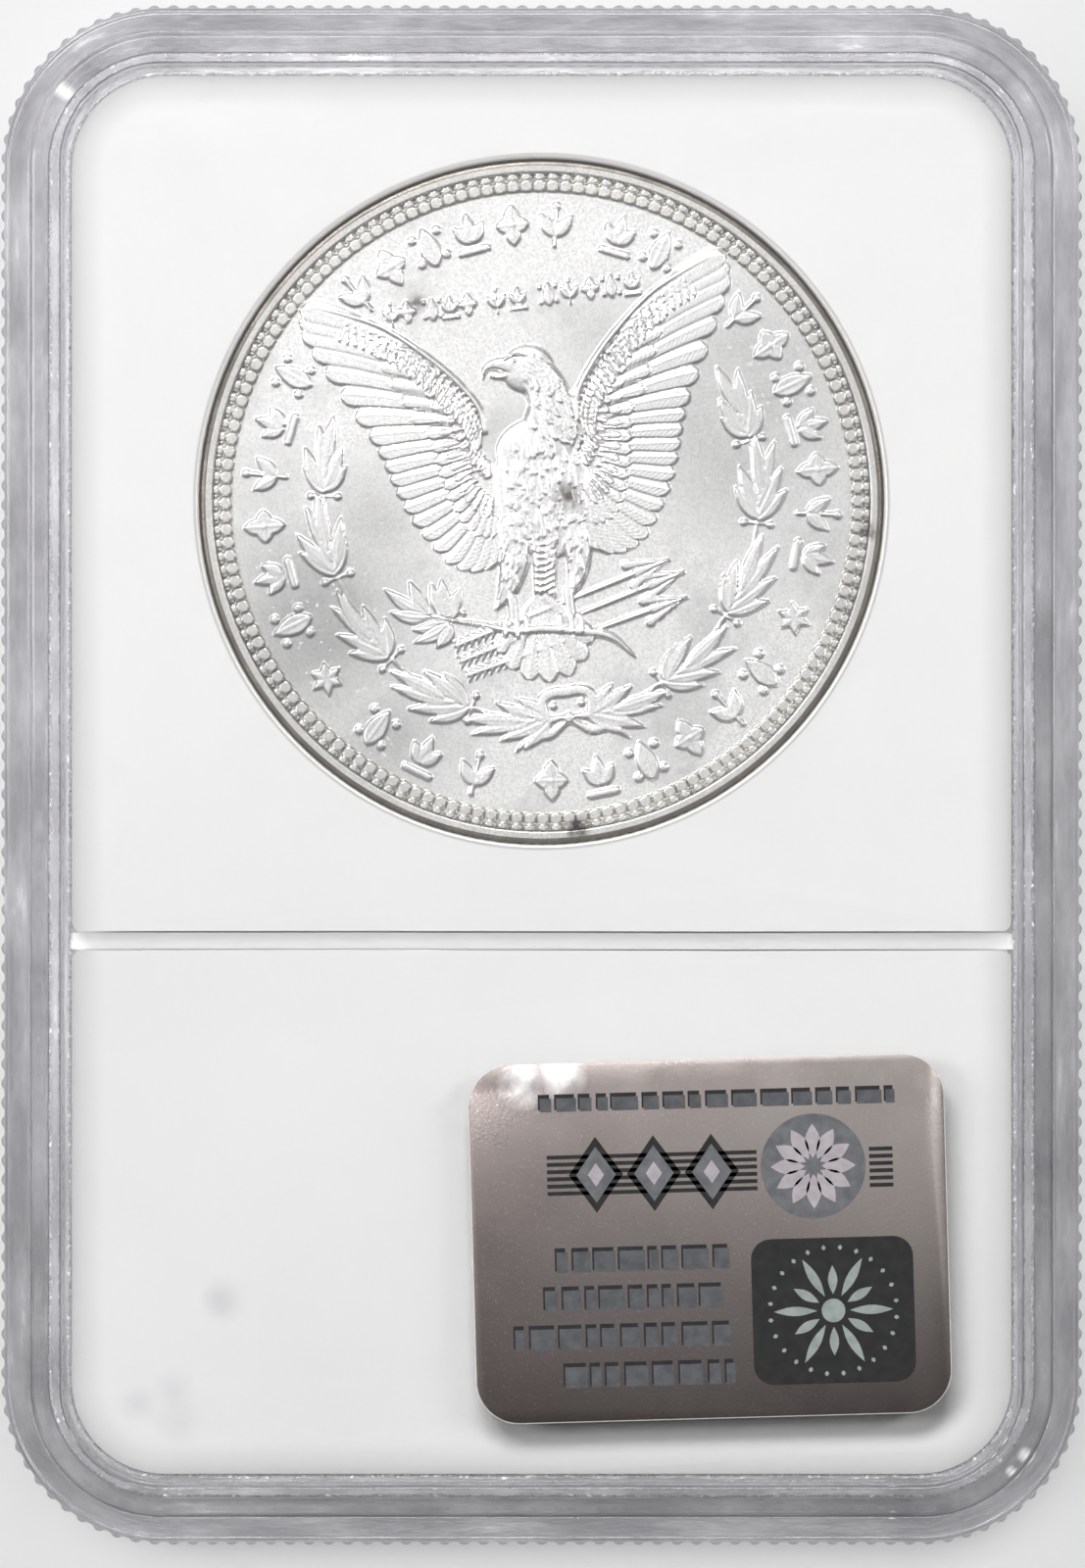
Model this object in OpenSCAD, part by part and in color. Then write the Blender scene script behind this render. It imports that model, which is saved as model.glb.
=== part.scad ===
// A sealed two-part display slab for one large silver coin.
// It lies on its front face, back face up: X is the width, +Y points to the coin end,
// and the origin is at the centre of the slab on the surface that it rests on. Millimetres.

/* [Slab] */
// Width over the grip beads
slab_w = 59.8; // [59.4:0.1:61]
// Length over the grip beads
slab_l = 85.2; // [84.6:0.1:87]
// Radius of the slab's outer corners
corner_r = 9; // [8:0.1:10]

/* [Layers] */
// Depth of the front face below the foot that the slab stands on
front_recess = 1.1; // [1.05:0.05:1.3]
// Thickness of the front window
front_plate = 1.5; // [1.2:0.1:1.8]
// Thickness of the white inserts between the windows
core_t = 3; // [2.8:0.1:3.4]
// Thickness of the back window
back_plate = 1.6; // [1.2:0.1:1.8]
// Height of the stacking ridge above the back window
ridge_h = 0.8; // [0.6:0.1:1]

/* [Rim] */
// Width of the outer band that a stacked slab's foot rests on
flange_w = 1.4; // [1.2:0.1:1.6]
// Distance from the outer wall to the cavity
wall_w = 3.5; // [3.4:0.1:3.8]
// How far below the ridge top the outer band lies
flange_drop = 1; // [0.9:0.05:1]
// Distance from one grip bead to the next
bead_pitch = 1.06; // [1:0.02:1.3]
// Radius of a grip bead
bead_r = 0.4; // [0.35:0.01:0.45]
// How far a grip bead stands out of the wall
bead_proud = 0.2; // [0.15:0.01:0.25]

/* [Coin] */
// Diameter of the coin
coin_d = 38.1; // [37.9:0.1:38.3]
// Thickness of the coin at its rim
coin_t = 2.4; // [2.2:0.1:2.6]
// Distance of the coin's centre from the slab's centre, along Y
coin_y = 15.2; // [14.8:0.1:15.4]
// Turn of the coin in its seat, in degrees
coin_turn = 7.4; // [0:0.2:10]
// Number of reeds on the coin's edge
reed_count = 189; // [150:1:200]

/* [Divider and label] */
// Centre of the clear rib between coin and label, along Y
rib_y = -9.2; // [-9.8:0.1:-9]
// Width of the clear rib
rib_w = 0.9; // [0.8:0.1:1.2]
// Thickness of the paper label
label_t = 0.25; // [0.2:0.05:0.3]

/* [Seal] */
// Width of the foil seal
seal_w = 26.3; // [24:0.1:27]
// Height of the foil seal
seal_h = 19.9; // [18:0.1:21]
// Radius of the seal's corners
seal_r = 2.4; // [1:0.1:4]
// Thickness of the seal, with its adhesive
seal_t = 0.12; // [0.08:0.01:0.2]
// Centre of the seal, along X
seal_x = 9.3; // [0:0.1:10]
// Centre of the seal, along Y
seal_y = -25.6; // [-26:0.1:-24]
// Turn of the seal, in degrees, because it is stuck on by hand
seal_turn = 1.6; // [0:0.1:2]

/* [Hidden] */
$fn = 64;
gap = 0.1;            // clearance between an insert and what holds it
seat_gap = 0.02;      // clearance between the coin and its seat
tongue_w = 1.1;       // the front shell's inner wall, which stands up inside the back shell
director_w = 0.5;     // the energy director that melts and welds the shells together
director_h = 0.2;
stack_gap = 0.05;     // play between one slab's foot and the next slab's ridge

// Heights, from the resting surface up
front_face_z = front_recess;
cavity_lo = front_face_z + front_plate;
cavity_hi = cavity_lo + core_t;
back_face_z = cavity_hi + back_plate;
top_z = back_face_z + ridge_h;
flange_z = top_z - flange_drop;
parting_z = top_z / 2;
coin_lo = (cavity_lo + cavity_hi - coin_t) / 2;

// The plain outer wall, inside the beads
wall_outer_w = slab_w - 2 * bead_proud;
wall_outer_l = slab_l - 2 * bead_proud;
wall_outer_r = corner_r - bead_proud;
tongue_in = wall_w - tongue_w;

// Coin relief
rim_w = 0.75;         // raised border of the coin
field_drop = 0.35;    // how far the field lies below the border
relief_h = 0.22;      // height of the devices above the field
relief_root = 0.05;   // how far the devices reach into the field
reed_depth = 0.1;
legend_r = 15.5;      // circle that the ring of ornaments follows
wreath_r = 12.1;      // circle that the two sprays of leaves follow
star_at = 122;        // turn from the top to each of the two stars

// Turns from the top of the coin to the first and last ornament of each group, and their number
LEGEND = [[-109, -56, 6], [-34, 10, 6], [24, 33, 2], [54, 109, 7], [135, 185, 6], [201, 224, 3]];
// Turns from the bottom of the coin to each cluster of leaves in a spray
CLUSTERS = [7, 28, 52, 78, 100];
// From the top feather of a wing to the lowest: where each starts and where its tip lies
WING_ROOT_X = [[0, 5.4], [0.5, 4], [1, 1.6]];
WING_ROOT_Y = [[0, 7.8], [0.5, 4.6], [1, 1]];
WING_TIP_X = [[0, 11.8], [0.1, 12], [0.4, 8.9], [0.8, 6.9], [1, 3]];
WING_TIP_Y = [[0, 12.4], [0.1, 10.9], [0.4, 4.6], [0.8, -1], [1, -3.2]];
feather_count = 15;

// A rounded rectangle, inset from the slab's plain outer wall, from z0 up to z1.
module slab_prism(inset, z0, z1) {
    translate([0, 0, z0]) linear_extrude(z1 - z0)
        rounded(wall_outer_w - 2 * inset, wall_outer_l - 2 * inset, wall_outer_r - inset);
}

module rounded(w, l, r) {
    square([w - 2 * r, l], center = true);
    square([w, l - 2 * r], center = true);
    for (sx = [-1, 1], sy = [-1, 1])
        translate([sx * (w / 2 - r), sy * (l / 2 - r)]) circle(r);
}

// The half-round beads all round the outer wall, from z0 up to z1.
module beads(z0, z1) {
    r = wall_outer_r;
    in = bead_r - bead_proud;
    side_x = wall_outer_w - 2 * r;
    side_y = wall_outer_l - 2 * r;
    n_x = round(side_x / bead_pitch);
    n_y = round(side_y / bead_pitch);
    n_c = round(r * PI / 2 / bead_pitch);
    for (s = [0, 180]) rotate(s) {
        for (i = [0 : n_x - 1])
            translate([(i + 0.5) * side_x / n_x - side_x / 2, wall_outer_l / 2 - in, z0])
                cylinder(r = bead_r, h = z1 - z0, $fn = 24);
        for (i = [0 : n_y - 1])
            translate([wall_outer_w / 2 - in, (i + 0.5) * side_y / n_y - side_y / 2, z0])
                cylinder(r = bead_r, h = z1 - z0, $fn = 24);
        for (m = [0, 1], i = [0 : n_c - 1])
            translate([(1 - 2 * m) * side_x / 2, side_y / 2, z0])
                rotate(90 * m + (i + 0.5) * 90 / n_c)
                    translate([r - in, 0, 0]) cylinder(r = bead_r, h = z1 - z0, $fn = 24);
    }
}

// One half of the clear rib that parts the coin from the label.
module rib(z0, z1) {
    reach = wall_outer_w / 2 - wall_w;
    translate([-reach, rib_y - rib_w / 2, z0]) cube([2 * reach, rib_w, z1 - z0]);
}

module front_shell() {
    foot_in = flange_w - stack_gap;
    color([0.86, 0.87, 0.9, 0.35]) {
        difference() {
            union() {
                slab_prism(0, 0, parting_z);
                slab_prism(tongue_in, parting_z - gap, cavity_hi - gap);
                difference() {
                    slab_prism(1, parting_z - gap, parting_z + director_h);
                    slab_prism(1 + director_w, parting_z - 2 * gap, parting_z + 2 * director_h);
                }
                beads(0.5, parting_z - 0.2);
            }
            slab_prism(wall_w, cavity_lo, cavity_hi);
            slab_prism(foot_in, -1, front_face_z);
        }
        rib(cavity_lo, parting_z - gap / 2);
    }
}

module back_shell() {
    ridge_in_w = wall_w - 0.2;
    color([0.86, 0.87, 0.9, 0.35]) {
        difference() {
            union() {
                slab_prism(0, parting_z, flange_z);
                slab_prism(flange_w, flange_z - gap, top_z);
                beads(parting_z + 0.2, flange_z - 0.3);
            }
            slab_prism(ridge_in_w, back_face_z, top_z + 1);
            slab_prism(tongue_in - gap / 2, parting_z - 1, cavity_hi);
            difference() {
                slab_prism(1 - gap / 2, parting_z - 1, parting_z + director_h + gap / 2);
                slab_prism(1 + director_w + gap / 2, parting_z - 2, parting_z + 1);
            }
        }
        rib(parting_z + gap / 2, cavity_hi);
    }
}

// A white insert that fills the cavity from y0 to y1, between z0 and z1.
module insert(y0, y1, z0, z1) {
    notch_r = 0.5;
    w = wall_outer_w - 2 * (wall_w + gap);
    intersection() {
        slab_prism(wall_w + gap, z0, z1);
        translate([0, (y0 + y1) / 2, z0]) linear_extrude(z1 - z0)
            rounded(w, y1 - y0, notch_r);
    }
}

module coin_core() {
    lead_in = 0.15;
    seat_r = coin_d / 2 + seat_gap;
    far = wall_outer_l / 2 - wall_w - gap;
    mid = (cavity_lo + cavity_hi) / 2;
    color("white") difference() {
        insert(rib_y + rib_w / 2 + gap, far, cavity_lo, cavity_hi);
        translate([0, coin_y, cavity_lo - 1]) cylinder(r = seat_r, h = core_t + 2, $fn = 128);
        for (s = [0, 180])
            translate([0, coin_y, mid]) rotate([s, 0, 0]) translate([0, 0, core_t / 2 - lead_in])
                cylinder(r1 = seat_r, r2 = seat_r + 2 * lead_in, h = 2 * lead_in, $fn = 128);
    }
}

module label_carrier() {
    far = wall_outer_l / 2 - wall_w - gap;
    color("white") insert(-far, rib_y - rib_w / 2 - gap, cavity_lo + label_t + gap / 2, cavity_hi);
}

module grading_label() {
    far = wall_outer_l / 2 - wall_w - gap;
    margin = 0.3;
    color([0.93, 0.91, 0.84])
        insert(-far + margin, rib_y - rib_w / 2 - margin, cavity_lo, cavity_lo + label_t);
}

// A pointed leaf or feather of length n and width w, from the origin along +Y.
module leaf(n, w) {
    polygon([[0, 0], [w / 2, n / 3], [w / 2.4, n * 2 / 3], [0, n], [-w / 2.4, n * 2 / 3], [-w / 2, n / 3]]);
}

// The children, and their mirror image in the Y axis.
module both_sides() {
    children();
    mirror([1, 0]) children();
}

module star(r) {
    for (a = [0, 60]) rotate(a) circle(r, $fn = 3);
}

// One spray of leaves, up the right-hand side from the bottom of the coin.
module spray() {
    for (a = CLUSTERS, fan = [-32, 0, 30])
        translate([wreath_r * sin(a), -wreath_r * cos(a)]) rotate(a - 90 + fan) leaf(3.8, 1.1);
}

// One raised wing, on the right-hand side.
module wing() {
    for (i = [0 : feather_count - 1]) {
        t = i / (feather_count - 1);
        root = [lookup(t, WING_ROOT_X), lookup(t, WING_ROOT_Y)];
        tip = [lookup(t, WING_TIP_X), lookup(t, WING_TIP_Y)];
        away = tip - root;
        translate(root) rotate(atan2(away[1], away[0]) - 90) leaf(norm(away), 1.5);
    }
    translate([1, 2]) rotate(-38) leaf(8, 2.4);
}

// Devices that stand a share of the relief's full height above the field.
module raised(share) {
    linear_extrude(relief_root + share * relief_h) children();
}

// The side that faces the back window: a bird with raised wings above a wreath.
module bird_side() {
    raised(0.6) both_sides() wing();
    raised(0.7) both_sides() {
        spray();
        rotate(star_at) translate([0, legend_r]) star(1);
    }
    raised(0.8) both_sides() {
        translate([0.9, -1.5]) rotate(190) leaf(5, 2);
        translate([0.1, -11.7]) rotate(70) leaf(1.6, 1.1);
    }
    raised(0.5) {
        for (fan = [-28 : 14 : 28]) translate([-0.5, -5.2]) rotate(180 + fan) leaf(4.5, 1.2);
        for (fan = [0, 25, 50]) translate([-4.6, -6.2]) rotate(40 + fan) leaf(4.4, 1);
        for (fan = [-10, 1, 12]) translate([-4, -8]) rotate(-68 + fan) leaf(11.5, 0.8);
    }
    raised(0.9) {
        translate([0.8, 3]) rotate(12) leaf(5.6, 3);
        translate([-0.2, 7.5]) circle(1.2);
        translate([0.3, 7.9]) rotate(82) leaf(2.7, 0.8);
    }
    raised(1) {
        translate([0.4, -3.6]) leaf(10, 5.4);
        translate([-5.8, -5.8]) rotate(-108) leaf(10.6, 0.7);
    }
}

// The side that faces the front window: a large star in a wreath, inside a ring of small stars.
module star_side() {
    ring_count = 13;
    raised(0.7) {
        both_sides() spray();
        for (i = [0 : ring_count - 1])
            rotate(i * 360 / ring_count) translate([0, legend_r]) star(1);
    }
    raised(1) star(6.5);
}

module legend() {
    raised(0.7) for (group = LEGEND, i = [0 : group[2] - 1]) {
        a = group[0] + (group[1] - group[0]) * i / (group[2] - 1);
        rotate(-a) translate([0, legend_r - 1]) leaf(2, 1);
    }
}

module coin() {
    field_r = coin_d / 2 - rim_w;
    half = coin_t / 2;
    relief_z = half - field_drop - relief_root;
    color("silver") translate([0, coin_y, coin_lo + half]) rotate(coin_turn) {
        difference() {
            translate([0, 0, -half]) linear_extrude(coin_t) difference() {
                circle(coin_d / 2, $fn = 180);
                for (i = [0 : reed_count - 1])
                    rotate(i * 360 / reed_count) translate([coin_d / 2 + reed_depth / 4, 0])
                        rotate(45) square(reed_depth * 1.6, center = true);
            }
            for (s = [0, 180]) rotate([s, 0, 0])
                translate([0, 0, half - field_drop]) cylinder(r = field_r, h = 1, $fn = 128);
        }
        translate([0, 0, relief_z]) {
            bird_side();
            legend();
        }
        rotate([180, 0, 0]) translate([0, 0, relief_z]) star_side();
    }
}

module seal() {
    color([0.6, 0.53, 0.51]) translate([seal_x, seal_y, back_face_z]) rotate(seal_turn)
        linear_extrude(seal_t) rounded(seal_w, seal_h, seal_r);
}

front_shell();
back_shell();
coin_core();
label_carrier();
grading_label();
coin();
seal();
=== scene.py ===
"""A sealed coin slab, back face up: clear welded shells, a white core, a silver coin in relief, a paper
label and a foil seal. Lengths here are millimetres in the slab's frame, and MM turns them into metres."""

import math

import bmesh
import bpy
import numpy as np
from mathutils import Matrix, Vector


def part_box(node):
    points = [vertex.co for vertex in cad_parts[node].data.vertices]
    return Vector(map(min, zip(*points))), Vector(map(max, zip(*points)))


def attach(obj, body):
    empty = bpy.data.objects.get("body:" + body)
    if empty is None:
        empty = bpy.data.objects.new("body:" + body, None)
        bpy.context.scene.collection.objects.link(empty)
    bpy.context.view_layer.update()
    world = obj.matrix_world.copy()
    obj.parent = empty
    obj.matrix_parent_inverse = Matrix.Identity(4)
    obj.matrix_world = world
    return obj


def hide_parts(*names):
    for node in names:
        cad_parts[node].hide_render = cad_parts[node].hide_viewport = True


MM = 0.001
SHARP = math.radians(52)  # smooth faces that meet at more than this keep a sharp edge
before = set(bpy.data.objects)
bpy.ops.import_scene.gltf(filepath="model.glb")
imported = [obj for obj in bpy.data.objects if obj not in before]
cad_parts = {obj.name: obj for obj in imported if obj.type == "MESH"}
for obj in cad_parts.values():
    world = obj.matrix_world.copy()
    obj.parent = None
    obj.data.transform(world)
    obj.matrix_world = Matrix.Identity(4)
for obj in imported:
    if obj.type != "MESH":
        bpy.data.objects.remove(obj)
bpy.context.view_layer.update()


def box_mm(node):
    """A CAD node's lowest and highest corners, in millimetres."""
    return [np.array(corner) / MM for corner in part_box(node)]


# ---------------- sizes, from the frame
BACK_LO, BACK_HI = box_mm("back_shell")
CORE_LO, CORE_HI = box_mm("coin_core")
CARRIER_HI = box_mm("label_carrier")[1]
LABEL_LO, LABEL_HI = box_mm("grading_label")
COIN_LO, COIN_HI = box_mm("coin")
SEAL_LO, SEAL_HI = box_mm("seal")

BEAD_PROUD = 0.2  # how far a grip bead stands out of the wall
BEAD_R = 0.4
BEAD_PITCH = 1.06
BEAD_STEPS = 8  # mesh steps along one bead
WALL_HALF_W = BACK_HI[0] - BEAD_PROUD  # the plain wall, inside the beads
WALL_HALF_L = BACK_HI[1] - BEAD_PROUD
WALL_R = 8.8
FLANGE_W = 1.4  # the outer band beside the stacking ridge
WALL_W = 3.5  # from the plain wall to the cavity
TONGUE_IN = 2.4  # from the plain wall to the front shell's inner wall
TOP_Z = BACK_HI[2]
PARTING_Z = BACK_LO[2]
FLANGE_Z = TOP_Z - 1.0
BACK_FACE_Z = SEAL_LO[2]
FRONT_FACE_Z = 1.1
CAVITY_LO, CAVITY_HI = CORE_LO[2], CORE_HI[2]
RIB_W = 0.9
RIB_Y = (CORE_LO[1] + CARRIER_HI[1]) / 2

COIN_R = (COIN_HI[0] - COIN_LO[0]) / 2
COIN_Y = (COIN_HI[1] + COIN_LO[1]) / 2
COIN_MID = (COIN_HI[2] + COIN_LO[2]) / 2
COIN_HALF = (COIN_HI[2] - COIN_LO[2]) / 2
COIN_TURN = math.radians(7.4)
FIELD_DROP = 0.35  # the field lies this far below the coin's rim


# ---------------- mesh and node helpers
def make_piece(name, verts, faces, materials, node=None, smooth=None, face_slots=None):
    """A mesh object from points in millimetres. smooth is how many faces, from the first, are smooth."""
    mesh = bpy.data.meshes.new(name)
    mesh.from_pydata([tuple(v) for v in np.asarray(verts) * MM], [], faces)
    shade = [i < smooth for i in range(len(faces))] if smooth is not None else [True] * len(faces)
    mesh.polygons.foreach_set("use_smooth", shade)
    mesh.set_sharp_from_angle(angle=SHARP)
    for material in materials:
        mesh.materials.append(material)
    if face_slots is not None:
        mesh.polygons.foreach_set("material_index", face_slots)
    piece = bpy.data.objects.new(name, mesh)
    bpy.context.scene.collection.objects.link(piece)
    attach(piece, "root")
    if node:
        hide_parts(node)
    return piece


def ring_faces(count, rings, first=0, closed=False):
    """Quads between rings of count points, from point first on. closed joins the last ring to the first."""
    starts = [first + r * count for r in range(rings)] + [first] * closed
    steps = [(i, (i + 1) % count) for i in range(count)]
    return [(a + i, a + j, b + j, b + i) for a, b in zip(starts, starts[1:]) for i, j in steps]


class Nodes:
    """A short way to build one material's node tree."""

    def __init__(self, name, **values):
        self.material = bpy.data.materials.new(name)
        self.material.use_nodes = True
        self.tree = self.material.node_tree
        self.shader = self.tree.nodes["Principled BSDF"]
        for key, value in values.items():
            self.shader.inputs[key.replace("_", " ")].default_value = value
        self.place = self.tree.nodes.new("ShaderNodeTexCoord").outputs["Object"]

    def add(self, kind, links=(), **settings):
        node = self.tree.nodes.new("ShaderNode" + kind)
        for key, value in settings.items():
            if hasattr(node, key):
                setattr(node, key, value)
            else:
                node.inputs[key.replace("_", " ")].default_value = value
        for key, source in dict(links).items():
            self.tree.links.new(source, node.inputs[key])
        return node

    def feed(self, socket, value):
        """Links a socket to another node's output, or sets it to a number or a colour."""
        if hasattr(value, "links"):
            self.tree.links.new(value, socket)
        else:
            socket.default_value = (*value, 1) if isinstance(value, tuple) else value

    def noise(self, per_mm, detail=3.0, roughness=0.5):
        """A noise from 0 to 1 with about per_mm lumps to a millimetre."""
        scale = {"Scale": per_mm / MM, "Detail": detail, "Roughness": roughness}
        return self.add("TexNoise", {"Vector": self.place}, **scale).outputs["Fac"]

    def ramp(self, source, *stops):
        """Colours or values along source: each stop is (position, value) with a grey value or a colour."""
        ramp = self.add("ValToRGB", {"Fac": source})
        blend_stops(ramp, stops)
        return ramp.outputs["Color"]

    def mix(self, share, first, second, blend="MIX"):
        """Colour first where share is 0, and where it is 1 second, or first times second."""
        mix = self.add("Mix", data_type="RGBA", blend_type=blend)
        for socket, value in zip((mix.inputs[0], mix.inputs[6], mix.inputs[7]), (share, first, second)):
            self.feed(socket, value)
        return mix.outputs[2]

    def math(self, operation, *values):
        node = self.add("Math", operation=operation)
        for socket, value in zip(node.inputs, values):
            self.feed(socket, value)
        return node.outputs["Value"]

    def plus(self, first, second):
        return self.math("ADD", first, second)

    def minus(self, first, second):
        return self.math("SUBTRACT", first, second)

    def times(self, first, second):
        return self.math("MULTIPLY", first, second)

    def over(self, first, second):
        return self.math("DIVIDE", first, second)

    def axes(self):
        """The place's three coordinates, in millimetres."""
        split = self.add("SeparateXYZ", {"Vector": self.place})
        return [self.over(split.outputs[k], MM) for k in "XYZ"]

    def spot(self, centre, radius, soft):
        """1 inside a round spot and 0 outside it, in the plane of the slab."""
        x, y, _ = self.axes()
        squares = [self.math("POWER", self.minus(a, c), 2.0) for a, c in zip((x, y), centre)]
        gap = self.math("SQRT", self.plus(*squares))
        return self.ramp(self.over(gap, radius + soft), (radius / (radius + soft), 1), (1, 0))

    def inside(self, half_w, half_l, radius):
        """How far a place lies inside a rounded rectangle's outline, in millimetres."""
        x, y, _ = self.axes()
        sides = ((x, half_w), (y, half_l))
        over = [self.minus(self.math("ABSOLUTE", a), half - radius) for a, half in sides]
        corner = [self.math("POWER", self.math("MAXIMUM", a, 0.0), 2.0) for a in over]
        outer = self.math("SQRT", self.plus(*corner))
        inner = self.math("MINIMUM", self.math("MAXIMUM", *over), 0.0)
        return self.minus(radius, self.plus(outer, inner))

    def drive(self, socket, source):
        self.tree.links.new(source, self.shader.inputs[socket])

    def bump(self, source, depth_mm, strength=1.0):
        bump = self.add("Bump", {"Height": source}, Distance=depth_mm * MM, Strength=strength)
        self.drive("Normal", bump.outputs["Normal"])


# ---------------- camera, lights and floor
def set_camera():
    """Straight above the slab, with its top a little nearer the frame's top edge."""
    view_h = 87.15  # how much of the slab's length the frame takes in, at the coin's height
    distance = 300
    camera = bpy.data.cameras.new("camera")
    camera.sensor_fit = "VERTICAL"
    camera.sensor_height = 24
    camera.lens = 24 * distance / view_h
    camera.clip_start, camera.clip_end = 0.01, 10
    holder = bpy.data.objects.new("camera", camera)
    holder.location = (0.05 * MM, -0.5 * MM, (distance + COIN_HI[2]) * MM)
    bpy.context.scene.collection.objects.link(holder)
    bpy.context.scene.camera = holder


def add_area(name, place, aim, size, watts):
    """A rectangular soft light at place that shines towards aim, both in millimetres."""
    light = bpy.data.lights.new(name, "AREA")
    light.shape = "RECTANGLE"
    light.size, light.size_y = size[0] * MM, size[1] * MM
    light.energy = watts
    holder = bpy.data.objects.new(name, light)
    holder.location = Vector(place) * MM
    holder.rotation_euler = (Vector(aim) - Vector(place)).to_track_quat("-Z", "Y").to_euler()
    bpy.context.scene.collection.objects.link(holder)


def set_lights():
    add_area("key", (-90, 330, 400), (0, 0, 0), (380, 130), 1.42)
    add_area("left", (-330, 60, 300), (0, 0, 0), (110, 260), 0.36)
    add_area("right", (300, 120, 280), (0, 0, 0), (60, 200), 0.18)


def blend_stops(ramp, stops):
    """Sets a colour ramp's stops, each (position, grey value or colour)."""
    points = ramp.color_ramp.elements
    while len(points) < len(stops):
        points.new(0.5)
    for point, (at, value) in zip(points, stops):
        point.position = at
        point.color = (value, value, value, 1) if isinstance(value, (int, float)) else (*value, 1)


def set_world():
    """A pale studio, brightest overhead and to the top left, with dark surroundings below eye level."""
    world = bpy.data.worlds.new("studio")
    world.use_nodes = True
    bpy.context.scene.world = world
    tree = world.node_tree
    background = tree.nodes["Background"]
    direction = tree.nodes.new("ShaderNodeTexCoord").outputs["Generated"]
    facing = tree.nodes.new("ShaderNodeVectorMath")
    facing.operation = "DOT_PRODUCT"
    facing.inputs[1].default_value = Vector((-0.3, 0.6, 0.75)).normalized()
    split = tree.nodes.new("ShaderNodeSeparateXYZ")
    side, height = tree.nodes.new("ShaderNodeValToRGB"), tree.nodes.new("ShaderNodeValToRGB")
    both = tree.nodes.new("ShaderNodeVectorMath")
    both.operation = "MULTIPLY"
    tree.links.new(direction, facing.inputs[0])
    tree.links.new(direction, split.inputs["Vector"])
    tree.links.new(facing.outputs["Value"], side.inputs["Fac"])
    tree.links.new(split.outputs["Z"], height.inputs["Fac"])
    tree.links.new(side.outputs["Color"], both.inputs[0])
    tree.links.new(height.outputs["Color"], both.inputs[1])
    tree.links.new(both.outputs["Vector"], background.inputs["Color"])
    blend_stops(side, ((0.0, 0.2), (0.3, 0.35), (0.6, 0.75), (0.8, 1.0)))
    blend_stops(height, ((0.0, 0.08), (0.3, 0.16), (0.6, 0.6), (0.85, 0.95), (0.96, 1.25)))
    background.inputs["Strength"].default_value = 0.72
    bpy.context.scene.view_settings.view_transform = "Standard"


def add_floor():
    paper = Nodes("floor_paper", Roughness=0.75)
    paper.drive("Base Color", paper.ramp(paper.noise(0.02), (0.3, 0.865), (0.7, 0.88)))
    side, drop = 3000, 0.02
    mesh = bpy.data.meshes.new("floor")
    corners = [(x * side, y * side, -drop) for x, y in ((-1, -1), (1, -1), (1, 1), (-1, 1))]
    mesh.from_pydata([tuple(c * MM for c in corner) for corner in corners], [], [(0, 1, 2, 3)])
    mesh.materials.append(paper.material)
    floor = bpy.data.objects.new("floor", mesh)
    bpy.context.scene.collection.objects.link(floor)


# ---------------- materials
def clear_plastic(name, tint, haze=0.0):
    """Clear polystyrene. haze is how milky it is, as where it has been melted or rubbed."""
    glass = Nodes(name, Base_Color=(*tint, 1), IOR=1.55)
    glass.shader.inputs["Transmission Weight"].default_value = 1.0 - haze
    rough = haze / 2
    glass.drive("Roughness", glass.ramp(glass.noise(0.35, 4), (0.45, 0.02 + rough), (0.75, 0.07 + rough)))
    return glass.material


# where the weld has melted dark, and where it holds white bubbles: (place on the slab, radius, soft edge)
MELTED = (
    ((-24.3, 38.3), 0.8, 1.8),
    ((-21.0, 39.4), 0.5, 1.6),
    ((24.6, 38.4), 0.5, 2.0),
    ((27.0, -22.0), 0.3, 2.2),
    ((-26.8, -33.0), 0.4, 2.0),
    ((20.5, -39.8), 0.4, 2.2),
)
BUBBLES = (
    ((26.9, -37.8), 0.15, 0.4),
    ((26.1, -38.7), 0.1, 0.3),
    ((19.5, -41.0), 0.08, 0.25),
    ((-26.4, 37.9), 0.15, 0.4),
)


def weld_plastic():
    """The melted joint: milky, lilac grey, blotched along the wall, and lighter to the top left by painted
    light.
    """
    weld = Nodes("welded_plastic", Roughness=0.4, IOR=1.55)
    x, y, _ = weld.axes()
    # painted light: lit makes the weld lighter towards the top and left and darker towards the bottom right
    up, right = weld.over(y, 2.2 * BACK_HI[1]), weld.over(x, 5.5 * BACK_HI[0])
    slope = weld.minus(up, right)
    lit = weld.ramp(weld.plus(slope, 0.5), (0.05, 0.68), (0.32, 0.76), (0.68, 0.97), (0.95, 1.0))
    melted, bubbles = ([weld.spot(*place) for place in places] for places in (MELTED, BUBBLES))
    grain = weld.noise(0.9, 4)
    weld.place = weld.add("Attribute", attribute_name="along_wall").outputs["Vector"]
    weld.shader.inputs["Transmission Weight"].default_value = 0.25
    blotches = weld.plus(weld.times(weld.noise(0.16, 5), 0.8), weld.times(weld.noise(1.0, 2), 0.2))
    dark, middle, pale = (0.36, 0.355, 0.37), (0.58, 0.575, 0.59), (0.95, 0.95, 0.96)
    tone = weld.ramp(blotches, (0.4, dark), (0.62, middle), (0.69, pale))
    uneven = weld.ramp(grain, (0.4, 1), (0.6, 0.5))
    for patch in melted:
        tone = weld.mix(weld.times(patch, uneven), tone, (0.26, 0.255, 0.27))
    # the painted light is multiplied into the weld's colour here
    tone = weld.mix(1.0, tone, lit, "MULTIPLY")
    for patch in bubbles:
        tone = weld.mix(patch, tone, (0.98, 0.98, 0.98))
    weld.drive("Base Color", tone)
    weld.bump(weld.noise(0.9, 3), 0.2, 0.6)
    return weld.material


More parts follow.
